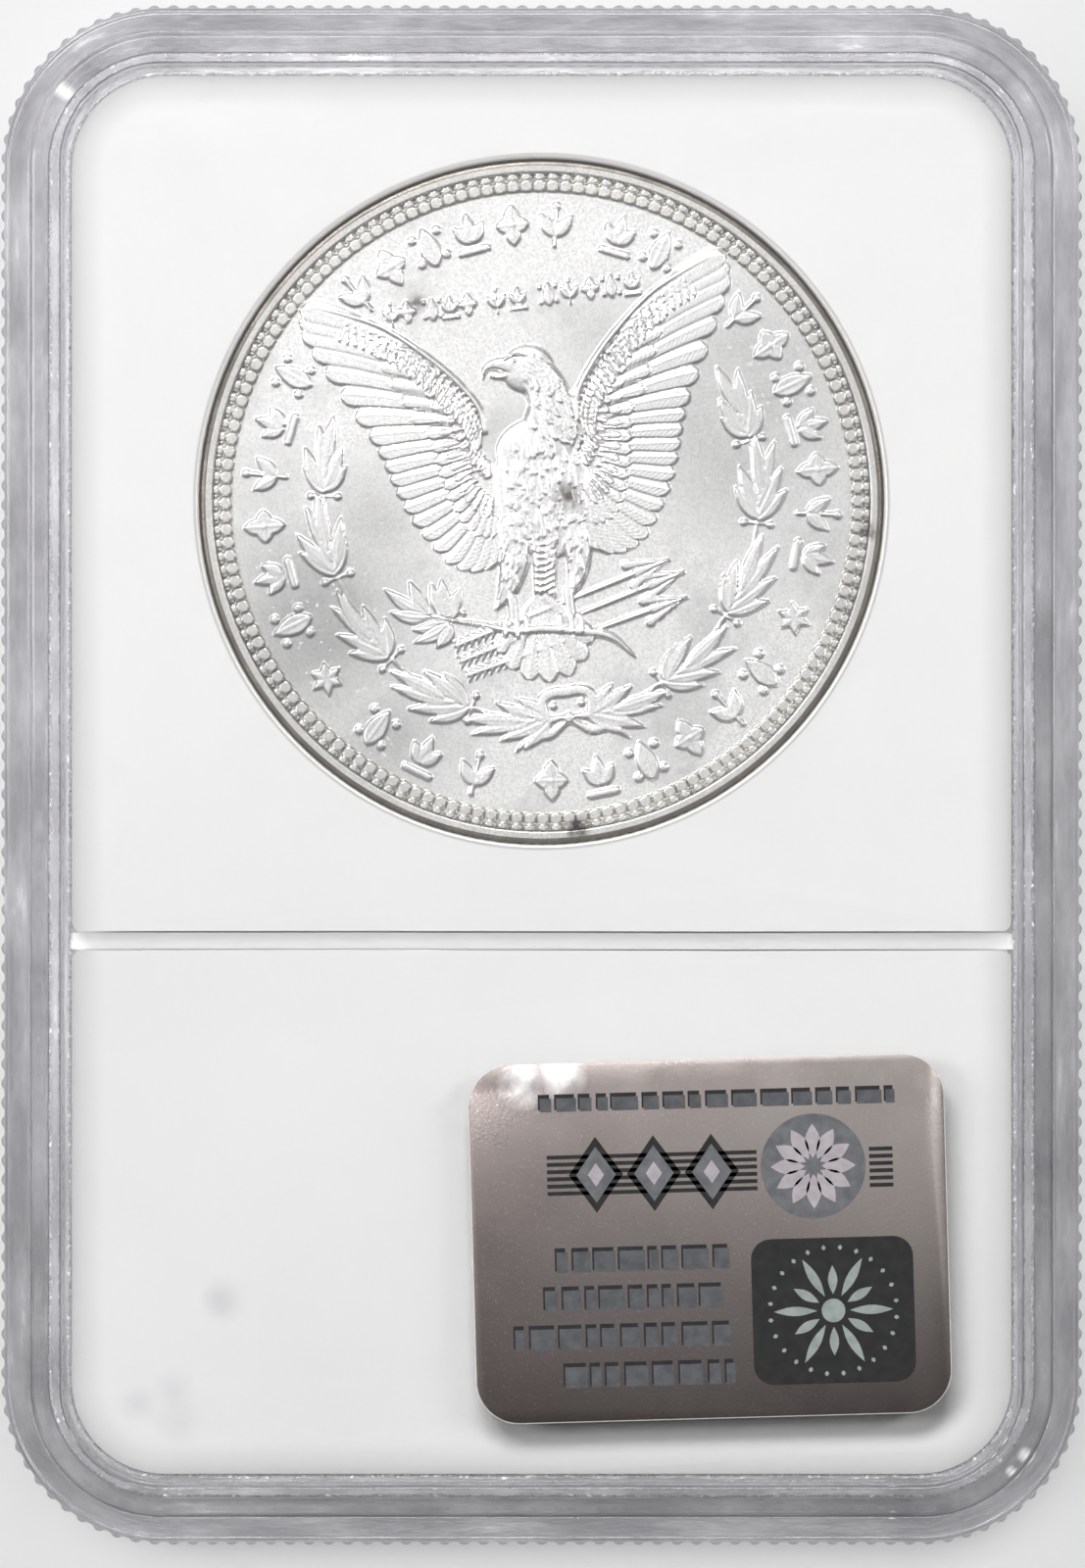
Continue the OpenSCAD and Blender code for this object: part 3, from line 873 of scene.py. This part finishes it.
def draw_perch(relief):
    """The olive branch and the arrows in the bird's feet."""
    arrows = (((-5.7, -7.3), (6.6, -4.1)), ((-5.55, -8.2), (7.3, -4.9)), ((-5.2, -9.0), (7.3, -6.3)))
    for tail, head in arrows:
        tail, head = np.array(tail), np.array(head)
        ahead = (head - tail) / np.hypot(*(head - tail))
        aside = np.array([-ahead[1], ahead[0]])
        relief.tube([tail, head], 0.17, 0.13, 0.1)
        for k in range(9):
            barb = tail + ahead * (0.2 + 0.42 * k)
            for way in (-1, 1):
                relief.tube([barb, barb - ahead * 0.35 + way * aside * 0.36], [0.12, 0.07], [0.15, 0.1], 0.08)
        for way in (-1, 1):
            relief.tube([head, head - ahead * 2.3 + way * aside * 0.62], [0.06, 0.3], [0.17, 0.13], 0.09)
        relief.tube([head, head - ahead * 1.9], [0.08, 0.3], [0.2, 0.16], 0.09)
    branch = [(-5.7, -5.9), (-4.2, -6.3), (-2.5, -6.9), (-0.8, -7.0), (1.2, -7.4), (2.9, -7.9), (4.1, -9.2)]
    relief.tube(branch, [0.12, 0.18, 0.24, 0.28, 0.28, 0.26, 0.1],
                [0.16, 0.2, 0.24, 0.26, 0.24, 0.2, 0.12], steps=24)
    relief.tube([(-5.7, -5.9), (-6.6, -5.6), (-7.2, -5.5)], 0.12, 0.14, steps=6)
    leaves = (
        ((-5.7, -5.85), (-5.1, -4.1)), ((-5.8, -5.8), (-6.05, -3.4)), ((-6.0, -5.75), (-6.7, -3.6)),
        ((-6.9, -5.5), (-7.9, -3.3)), ((-7.1, -5.5), (-9.35, -3.6)), ((-7.1, -5.55), (-9.2, -4.95)),
        ((-5.9, -6.0), (-8.1, -6.1)), ((-5.9, -6.05), (-8.1, -6.85)), ((-5.8, -6.1), (-6.9, -7.3)),
    )
    for start, end in leaves:
        relief.stroke(start, end, 0.42, 0.15, "leaf", bow=0.12)
    relief.bead((-5.1, -5.55), 0.2, 0.17)
    for x, y in ((-2.9, -6.6), (-2.25, -6.75), (-1.7, -6.6), (0.2, -6.75), (0.8, -6.9), (1.35, -6.95)):
        relief.tube([(x, y + 0.35), (x, y - 0.45)], [0.24, 0.22], [0.28, 0.3], 0.14)
    for x in (-2.3, 0.85):
        relief.tube([(x, -5.1), (x, -6.4)], 0.34, 0.25, 0.16)


def draw_wreath(relief, dice):
    """Two sprays of leaves that meet in a ribbon's bow at the foot of the coin."""
    nodes = (4, 26, 51, 77, 99)
    fan = ((-40, 2.5, 0.1), (38, 2.4, 0.2), (-22, 3.3, 0.3), (23, 3.1, 0.4), (-7, 3.9, 0.9), (8, 3.6, 1.5))
    for side in (-1, 1):
        path = [polar(WREATH_R, 180 - side * a) for a in np.linspace(2, 104, 30)]
        relief.tube(path, 0.11, 0.1, 0.09)
        for a in nodes:
            node = polar(WREATH_R, 180 - side * a)
            ahead = math.radians(a) if side > 0 else math.pi - math.radians(a)
            for lean, length, along in fan:
                angle = ahead + side * math.radians(lean + dice.uniform(-4, 4))
                start = node + along * np.array([math.cos(ahead), math.sin(ahead)])
                size = length * dice.uniform(0.92, 1.06) * (0.85 if a == nodes[-1] else 1)
                end = start + size * np.array([math.cos(angle), math.sin(angle)])
                rise = 0.15 + 0.01 * dice.uniform()
                relief.stroke(start, end, 0.42, rise, "leaf", bow=0.12 * dice.uniform(-1, 1))
            for way in (-1, 1):
                berry = node + way * 0.75 * np.array([-math.sin(ahead), math.cos(ahead)])
                relief.tube([node, berry], 0.09, 0.09, 0.08)
                relief.bead(berry, 0.24, 0.15)
        loop = ((0.2, -12.0), (1.2, -12.0), (1.35, -10.95), (0.7, -10.6), (0, -10.65))
        relief.tube([(side * x, y) for x, y in loop],
                    [0.16, 0.3, 0.34, 0.34, 0.34], 0.16, steps=16)
        relief.tube([(side * 0.2, -12.3), (side * 1.2, -12.9), (side * 2.2, -12.9), (side * 3.2, -13.6)],
                    [0.2, 0.3, 0.26, 0.1], [0.15, 0.16, 0.13, 0.1], steps=14)
    relief.bead((0, -12.1), 0.42, 0.22, 0.2)


def draw_ornament(relief, kind, centre, up, size):
    """One of four small ornaments that stand where a coin's legend runs."""
    centre = np.array(centre)
    up = np.array(up)
    across = np.array([up[1], -up[0]])

    def place(u, v):
        return centre + size * (u * across + v * up)

    if kind == 0:  # lozenge with four pearls
        relief.stroke(place(0, -1), place(0, 1), 0.5 * size, 0.16, "leaf")
        for u, v in ((-0.62, -0.6), (0.62, -0.6), (-0.62, 0.6), (0.62, 0.6)):
            relief.bead(place(u, v), 0.24 * size, 0.13, 0.08)
    elif kind == 1:  # four petals
        for u, v in ((0, 1), (0, -1), (0.8, 0), (-0.8, 0)):
            relief.stroke(place(0, 0), place(u, v), 0.4 * size, 0.15, "leaf")
        relief.bead(centre, 0.2 * size, 0.18, 0.08)
    elif kind == 2:  # sprig
        for u, v in ((-0.75, 0.45), (0, 1), (0.75, 0.45)):
            relief.stroke(place(0, -0.5), place(u, v), 0.33 * size, 0.15, "leaf")
        relief.tube([place(-0.6, -0.85), place(0.6, -0.85)], 0.2 * size, 0.14, 0.08)
    else:  # two leaves on a stem
        relief.tube([place(0, -1), place(0, 0.9)], 0.13 * size, 0.13, 0.08)
        for way in (-1, 1):
            relief.stroke(place(0, -0.6), place(way * 0.8, 0.5), 0.34 * size, 0.15, "leaf")
        relief.bead(place(0, 0.85), 0.22 * size, 0.15, 0.08)


# first and last angle, clockwise from the top, and number of ornaments
LEGEND = ((-109, -55.7, 6), (-34, 10.4, 6), (23.7, 32.8, 2), (54, 109, 7), (135, 185.3, 6), (201, 223.5, 3))
MOTTO = ((-6.9, -6.0, 2), (-4.6, -2.6, 3), (-1.0, 0.2, 2), (1.9, 6.6, 5))


def draw_legend(relief):
    order = (0, 2, 1, 3, 2, 0, 3, 1)
    number = 0
    for first, last, count in LEGEND:
        for i in range(count):
            angle = first + (last - first) * i / (count - 1)
            low = 124 < angle < 236
            up = polar(1, angle) * (-1 if low else 1)
            draw_ornament(relief, order[number % len(order)], polar(LEGEND_R, angle), up, 1.2)
            number += 1
    for first, last, count in MOTTO:
        for i in range(count):
            x = first + (last - first) * i / (count - 1)
            draw_ornament(relief, order[number % len(order)], (x, 11.45), (0, 1), 0.7)
            number += 1
    for side in (-1, 1):
        relief.star(polar(LEGEND_R, side * 122), 1.02, 0.15, turn=math.pi / 2 - math.radians(side * 122))


def bird_side(x, y):
    """Heights above the field on the side that faces the back window."""
    relief = Relief(x, y)
    dice = np.random.default_rng(3)
    draw_legend(relief)
    draw_wreath(relief, dice)
    for side in (-1, 1):
        draw_wing(relief, side)
    draw_bird(relief)
    draw_perch(relief)
    return relief.h


def star_side(x, y):
    """Heights above the field on the side that faces the front window."""
    relief = Relief(x, y)
    dice = np.random.default_rng(5)
    draw_wreath(relief, dice)
    for i in range(13):
        relief.star(polar(LEGEND_R, i * 360 / 13), 1.0, 0.15, turn=math.pi / 2 - math.radians(i * 360 / 13))
    relief.star((0, 0), 7.4, 0.25, tips=8, turn=math.pi / 2, inner=0.5)
    for i in range(24):
        a = i * 15 + 7.5
        relief.tube([polar(8.1, a), polar(9.2, a)], [0.16, 0.08], 0.12, 0.1)
    return relief.h


def border(x, y):
    """Heights above the field between the field and the edge: two rows of blocks, then the rim."""
    r, angle = np.hypot(x, y), np.arctan2(y, x)
    cell = angle / (2 * np.pi) * DENTILS
    aside = (cell - np.round(cell)) * 2 * np.pi * r / DENTILS
    height = np.zeros_like(r)
    for centre, half_deep, half_wide, rise in ((17.62, 0.37, 0.36, 0.2), (18.12, 0.17, 0.34, 0.3)):
        gap = (np.abs((r - centre) / half_deep) ** 4 + np.abs(aside / half_wide) ** 4) ** (1 / 4)
        height = np.maximum(height, rise * smooth_step((1 - gap) / 0.26))
    wall = smooth_step((r - (RIM_R - 0.12)) / 0.12)
    return np.maximum(height, FIELD_DROP * wall)


# ---------------- the coin
def disc_points(cells, radius):
    """Points of a square grid laid over a disc, so that its rim has 4 x cells points at equal angles."""
    line = np.linspace(-1, 1, cells + 1)
    u, v = np.meshgrid(line, line)
    wide = np.abs(u) >= np.abs(v)
    safe_u, safe_v = np.where(u == 0, 1, u), np.where(v == 0, 1, v)
    r = np.where(wide, u, v) * radius
    angle = np.where(wide, np.pi / 4 * v / safe_u, np.pi / 2 - np.pi / 4 * u / safe_v)
    return (r * np.cos(angle)).ravel(), (r * np.sin(angle)).ravel()


def disc_solid(cells, radius, heights, floor_z):
    """A closed disc with relief on top and a flat underside at floor_z."""
    x, y = disc_points(cells, radius)
    side = cells + 1
    index = np.arange(side * side).reshape(side, side)
    quads = np.stack([index[:-1, :-1], index[:-1, 1:], index[1:, 1:], index[1:, :-1]], -1).reshape(-1, 4)
    rim = np.concatenate([index[0, :-1], index[:-1, -1], index[-1, :0:-1], index[:0:-1, 0]])
    top = np.stack([x, y, heights(x, y)], 1)
    under = np.stack([x[rim], y[rim], np.full(len(rim), floor_z)], 1)
    n = len(top)
    faces = [tuple(q) for q in quads.tolist()]
    smooth = len(faces)
    count = len(rim)
    faces += [(int(rim[i]), n + i, n + (i + 1) % count, int(rim[(i + 1) % count])) for i in range(count)]
    faces.append(tuple(n + i for i in reversed(range(count))))
    return np.concatenate([top, under]), faces, smooth


def circle(radius, angle, z):
    return np.stack(np.broadcast_arrays(radius * np.cos(angle), radius * np.sin(angle), z), 1)


def ring_solid(steps, radii, heights, floor_z):
    """A closed flat ring with relief on top and a flat underside at floor_z."""
    angle = -np.pi / 4 + np.arange(steps) * 2 * np.pi / steps
    rings = []
    for r in radii:
        x, y = r * np.cos(angle), r * np.sin(angle)
        rings.append(np.stack([x, y, heights(x, y)], 1))
    rings += [circle(r, angle, floor_z) for r in (radii[-1], radii[0])]
    return np.concatenate(rings), ring_faces(steps, len(rings), closed=True), (len(radii) - 1) * steps


def struck(heights):
    """Heights above the coin's middle plane."""
    field = COIN_HALF - FIELD_DROP

    def above_middle(x, y):
        return field + heights(x, y)

    return above_middle


def to_coin(points, flip=False):
    """Puts points from the coin's own frame into the slab's. flip turns the face towards the front window."""
    c, s = math.cos(COIN_TURN), math.sin(COIN_TURN)
    x, y, z = points[:, 0], points[:, 1], points[:, 2]
    if flip:
        y, z = -y, -z
    return np.stack([x * c - y * s, x * s + y * c + COIN_Y, z + COIN_MID], 1)


def add_coin():
    """The coin, in six closed pieces, because one mesh of this detail would be too heavy."""
    silver_face = silver("silver")
    silver_rim = silver("silver_rim", tone=(0.88, 0.87, 0.84), toned=0.16)
    silver_edge = silver("silver_edge", tone=(0.6, 0.56, 0.51), toned=0.9)
    cells, middle_r = 304, 11.0
    steps = 4 * cells

    def piece(name, shape, material, flip=False):
        verts, faces, smooth = shape
        coin = make_piece(name, to_coin(verts, flip), faces, [material], "coin", smooth)
        tidy_normals(coin)

    piece("coin_reverse_centre", disc_solid(cells, middle_r, struck(bird_side), 0.0), silver_face)
    radii = np.linspace(middle_r, FIELD_R, 77)
    piece("coin_reverse_field", ring_solid(steps, radii, struck(bird_side), 0.0), silver_face)
    piece("coin_obverse", disc_solid(cells, FIELD_R, struck(star_side), 0.0), silver_face, True)
    radii = np.linspace(FIELD_R, EDGE_R, 34)
    piece("coin_reverse_border", ring_solid(steps, radii, struck(border), 0.0), silver_rim)
    piece("coin_obverse_border", ring_solid(steps, radii, struck(border), 0.0), silver_rim, True)
    piece("coin_edge", reeded_edge(), silver_edge)


def reeded_edge():
    """The rim's outer band with its reeds, as a closed ring."""
    steps_per_reed = 6
    steps = REEDS * steps_per_reed
    angle = np.arange(steps) * 2 * np.pi / steps
    reed = 0.05 * (1 - np.cos(REEDS * angle))
    top = COIN_HALF
    half = [
        (EDGE_R, top, 0),
        (COIN_R - 0.2, top - 0.01, 0),
        (COIN_R - 0.1, top - 0.04, 0),
        (COIN_R - 0.03, top - 0.1, 0.3),
        (COIN_R, top - 0.2, 1),
    ]
    rows = half + [(COIN_R, 0.0, 1)] + [(r, -z, share) for r, z, share in reversed(half)]
    rings = [circle(r - share * reed, angle, z) for r, z, share in rows]
    return np.concatenate(rings), ring_faces(steps, len(rings), closed=True), (len(rows) - 1) * steps


# ---------------- flat printed shapes
class Print:
    """Thin closed shapes, built up on one level from flat outlines, and turned into one piece."""

    def __init__(self, low, high):
        self.low, self.high, self.verts, self.faces = low, high, [], []

    def outline(self, points):
        """A prism over a convex outline that runs anticlockwise."""
        n, first = len(points), len(self.verts)
        self.verts += [(x, y, self.low) for x, y in points] + [(x, y, self.high) for x, y in points]
        self.faces.append(tuple(first + i for i in reversed(range(n))))
        self.faces.append(tuple(first + n + i for i in range(n)))
        self.faces += ring_faces(n, 2, first)

    def bar(self, x0, y0, x1, y1):
        self.outline([(x0, y0), (x1, y0), (x1, y1), (x0, y1)])

    def rounded(self, centre, size, radius, steps=8):
        self.outline(rounded_outline(centre, size, radius, steps))

    def lozenge(self, centre, half_w, half_h):
        x, y = centre
        self.outline([(x - half_w, y), (x, y - half_h), (x + half_w, y), (x, y + half_h)])

    def petal(self, centre, angle, near, far, half_width, steps=7):
        """A pointed leaf from one distance to another out from the centre."""
        c, s = math.cos(angle), math.sin(angle)
        shares = [k / steps for k in range(steps + 1)]
        line = [(near + (far - near) * share, half_width * math.sin(math.pi * share)) for share in shares]
        loop = [(r, -w) for r, w in line] + [(r, w) for r, w in reversed(line[1:-1])]
        self.outline([(centre[0] + r * c - w * s, centre[1] + r * s + w * c) for r, w in loop])

    def dashes(self, dice, left, right, y, height, shade=None):
        """A row of short bars of uneven length that stands in for small print; shade, if given, gets a
        painted shadow bar above each.
        """
        x = left
        while x < right - 0.4:
            end = min(x + dice.uniform(0.5, 1.5), right)
            self.bar(x, y - height / 2, end, y + height / 2)
            if shade:
                # painted shadow: a dark bar set up and to the left behind each dash
                shade.bar(x - 0.1, y - height / 2 + 0.1, end - 0.1, y + height / 2 + 0.22)
            x = end + dice.uniform(0.2, 0.35)

    def piece(self, name, material, node, slot, turn=0.0, centre=(0, 0)):
        verts = np.array(self.verts)
        c, s = math.cos(turn), math.sin(turn)
        x, y = verts[:, 0].copy(), verts[:, 1].copy()
        verts[:, 0], verts[:, 1] = x * c - y * s + centre[0], x * s + y * c + centre[1]
        return make_piece(name, verts, self.faces, [material], node, 0)


def rounded_outline(centre, size, radius, steps=8):
    points = []
    for quarter in range(4):
        sx, sy = ((1, 1), (-1, 1), (-1, -1), (1, -1))[quarter]
        for k in range(steps + 1):
            a = math.pi / 2 * (quarter + k / steps)
            points.append((
                centre[0] + sx * (size[0] / 2 - radius) + radius * math.cos(a),
                centre[1] + sy * (size[1] / 2 - radius) + radius * math.sin(a),
            ))
    return points


# ---------------- the foil seal
SEAL_W, SEAL_H, SEAL_R = 26.3, 19.9, 2.4
SEAL_CENTRE = ((SEAL_LO[0] + SEAL_HI[0]) / 2, (SEAL_LO[1] + SEAL_HI[1]) / 2)
SEAL_TURN = math.radians(1.6)
INK = 0.01  # thickness of the printing
PALE_PATCHES = ((-10.4, 8.5), (-8.2, 8.9))  # the foil's pale patches, from its centre


def foil():
    """Brushed rosy grey foil, darker to the lower left, pale at its top left corner."""
    metal = Nodes("seal_foil", Metallic=1.0)
    x, y, _ = metal.axes()
    right, up = (metal.minus(axis, middle) for axis, middle in zip((x, y), SEAL_CENTRE))
    slope = metal.plus(metal.times(right, 0.016), metal.times(up, 0.012))
    cloud = metal.plus(slope, metal.times(metal.noise(0.12, 4), 0.35))
    dark, middle, pale = (0.245, 0.205, 0.2), (0.32, 0.28, 0.268), (0.41, 0.37, 0.35)
    tone = metal.ramp(metal.plus(cloud, 0.3), (0.15, dark), (0.5, middle), (0.8, pale))
    grain = metal.noise(7, 2)
    tone = metal.mix(metal.ramp(grain, (0.62, 0), (0.72, 0.3)), tone, (0.62, 0.57, 0.55))
    pale_patch = [metal.spot((SEAL_CENTRE[0] + dx, SEAL_CENTRE[1] + dy), 0.5, 1.0) for dx, dy in PALE_PATCHES]
    pale_patch = metal.times(metal.math("MAXIMUM", *pale_patch), metal.ramp(metal.noise(0.7, 3), (0.35, 0.3), (0.6, 0.9)))
    metal.drive("Base Color", metal.mix(pale_patch, tone, (0.9, 0.88, 0.88)))
    metal.drive("Roughness", metal.ramp(metal.noise(0.3, 3), (0.35, 0.24), (0.65, 0.36)))
    metal.bump(metal.noise(5, 3), 0.01, 0.5)
    return metal.material


def ink(name, low, high, roughness=0.4):
    """Printing ink, slightly uneven, between two colours."""
    paint = Nodes(name, Roughness=roughness)
    paint.drive("Base Color", paint.ramp(paint.noise(1.5, 4), (0.35, low), (0.65, high)))
    return paint.material


def add_seal():
    dice = np.random.default_rng(11)
    low, top = BACK_FACE_Z, SEAL_HI[2]
    outline = rounded_outline((0, 0), (SEAL_W, SEAL_H), SEAL_R, 12)
    inner = rounded_outline((0, 0), (SEAL_W - 0.12, SEAL_H - 0.12), SEAL_R - 0.06, 12)
    n = len(outline)
    verts = [(*p, low) for p in outline] + [(*p, top - 0.04) for p in outline] + [(*p, top) for p in inner]
    faces = ring_faces(n, 3) + [tuple(reversed(range(n))), tuple(range(2 * n, 3 * n))]
    paper = ink("seal_edge", (0.75, 0.72, 0.7), (0.85, 0.83, 0.81), roughness=0.6)
    c, s = math.cos(SEAL_TURN), math.sin(SEAL_TURN)
    verts = [(x * c - y * s + SEAL_CENTRE[0], x * s + y * c + SEAL_CENTRE[1], z) for x, y, z in verts]
    slots = [1] * (2 * n) + [1, 0]
    make_piece("seal_foil", verts, faces, [foil(), paper], "seal", 0, slots)

    def level(number):
        return Print(top - INK / 2, top + INK * number)

    grey, black, pale, rosy = level(1.5), level(1), level(2.5), level(2.5)
    # the black dashes under the grey print are painted shadows; the black ink's other shapes are print
    grey.dashes(dice, -9.2, 10.4, 7.6, 0.75, black)
    for row, left in enumerate((-8.5, -9.2, -10.9, -8.2)):
        grey.dashes(dice, left, 1.2, -1.1 - 2.12 * row, 1.15, black)
    for k in range(6):
        y = 2.6 + 0.4 * k
        black.bar(-8.9, y, 2.7, y + 0.22)
        black.bar(8.9, y, 10.2, y + 0.22)
    disc = level(2)
    for x in (-6.2, -3.0, 0.2):
        black.lozenge((x, 3.7), 1.5, 2.1)
        disc.lozenge((x, 3.7), 1.1, 1.55)
        rosy.lozenge((x, 3.7), 0.45, 0.65)
    disc.rounded((5.8, 3.85), (5.8, 5.8), 2.88, 16)
    black.rounded((6.7, -4.15), (8.95, 8.05), 1.1)
    for k in range(12):
        a = k * math.pi / 6
        rosy.petal((5.8, 3.85), a, 0.45, 2.35, 0.42)
        pale.petal((6.7, -4.15), a, 0.9, 2.5 if k % 2 else 3.3, 0.26)
    pale.rounded((6.7, -4.15), (1.3, 1.3), 0.64, 10)
    for k in range(24):
        a = (k + 0.5) * math.pi / 12
        pale.petal((6.7, -4.15), a, 3.35, 3.65, 0.12, 4)
    inks = {
        "grey": (grey, ink("seal_grey_ink", (0.085, 0.088, 0.098), (0.13, 0.133, 0.143))),
        "black": (black, ink("seal_black_ink_and_painted_shadow", (0.008, 0.008, 0.009), (0.018, 0.018, 0.02), roughness=0.5)),
        "disc": (disc, ink("seal_disc_ink", (0.13, 0.135, 0.15), (0.19, 0.195, 0.21))),
        "pale": (pale, ink("seal_pale_ink", (0.3, 0.35, 0.33), (0.4, 0.45, 0.43))),
        "rosy": (rosy, ink("seal_rosy_ink", (0.45, 0.41, 0.44), (0.56, 0.51, 0.54))),
    }
    for name, (shapes, paint) in inks.items():
        shapes.piece(f"seal_{name}_print", paint, "seal", "foil", SEAL_TURN, SEAL_CENTRE)


# ---------------- the paper label, behind the front window
def add_label():
    """A paper label that faces the front window, with bars in place of print."""
    paper = Nodes("label_paper", Roughness=0.7)
    fibres = paper.noise(2.5, 5)
    paper.drive("Base Color", paper.ramp(fibres, (0.35, (0.86, 0.85, 0.82)), (0.65, (0.91, 0.9, 0.87))))
    paper.bump(fibres, 0.02, 0.4)
    low, high = LABEL_LO[2] + 0.02, LABEL_HI[2]
    sheet = Print(low, high)
    size = (LABEL_HI[0] - LABEL_LO[0], LABEL_HI[1] - LABEL_LO[1])
    centre = (0, (LABEL_HI[1] + LABEL_LO[1]) / 2)
    corner = WALL_R - WALL_W - 0.2
    full = rounded_outline(centre, size, corner, 10)
    square_top = [p for p in full if p[1] <= centre[1]]
    square_top += [(size[0] / 2, LABEL_HI[1]), (-size[0] / 2, LABEL_HI[1])]
    square_top.sort(key=lambda p: math.atan2(p[1] - centre[1], p[0]))
    sheet.outline(square_top)
    sheet.piece("label_sheet", paper.material, "grading_label", "label_paper")
    dice = np.random.default_rng(21)
    # seen from the front, the label reads from the rib down, with x running the other way
    blue, black = Print(low - INK, low + INK / 2), Print(low - INK, low + INK / 2)
    top = LABEL_HI[1]
    blue.bar(-24, top - 4.6, 24, top - 2.4)
    for row in range(3):
        black.dashes(dice, 2.0, 22, top - 8.2 - 3.4 * row, 1.7 - 0.3 * row)
    for row in range(2):
        black.dashes(dice, 6.0, 22, top - 19.5 - 2.4 * row, 0.9)
    x = -22.0
    while x < -4:
        width = dice.choice((0.25, 0.4, 0.65))
        black.bar(x, top - 23.5, x + width, top - 16.5)
        x += width + dice.choice((0.25, 0.45))
    for k in range(16):
        blue.petal((-13.5, top - 10.3), k * math.pi / 8, 0.8, 4.2 if k % 2 else 3.2, 0.38)
    blue_ink = ink("label_blue_ink", (0.06, 0.1, 0.2), (0.09, 0.14, 0.26))
    black_ink = ink("label_black_ink", (0.02, 0.02, 0.022), (0.045, 0.045, 0.05))
    for name, shapes, paint in (("blue", blue, blue_ink), ("black", black, black_ink)):
        shapes.piece(f"label_{name}_print", paint, "grading_label", "label_paper")


def finish_inserts():
    """The two white inserts keep their CAD shapes and take a finish of their own."""
    smudges = (
        ((-17.7, -29.1), 0.3, 1.1, 0.8),
        ((-20.4, -34.0), 0.2, 1.1, 0.86),
        ((-20.2, -35.9), 0.3, 1.2, 0.85),
        ((-22.4, -34.9), 0.2, 1.0, 0.87),
    )
    for name, marks in (("coin_core", ()), ("label_carrier", smudges)):
        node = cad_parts[name]
        node.data.materials.clear()
        node.data.materials.append(white_plastic(name + "_white", marks))


set_camera()
set_world()
set_lights()
add_floor()
finish_inserts()
add_coin()
add_label()
add_seal()
add_shells()
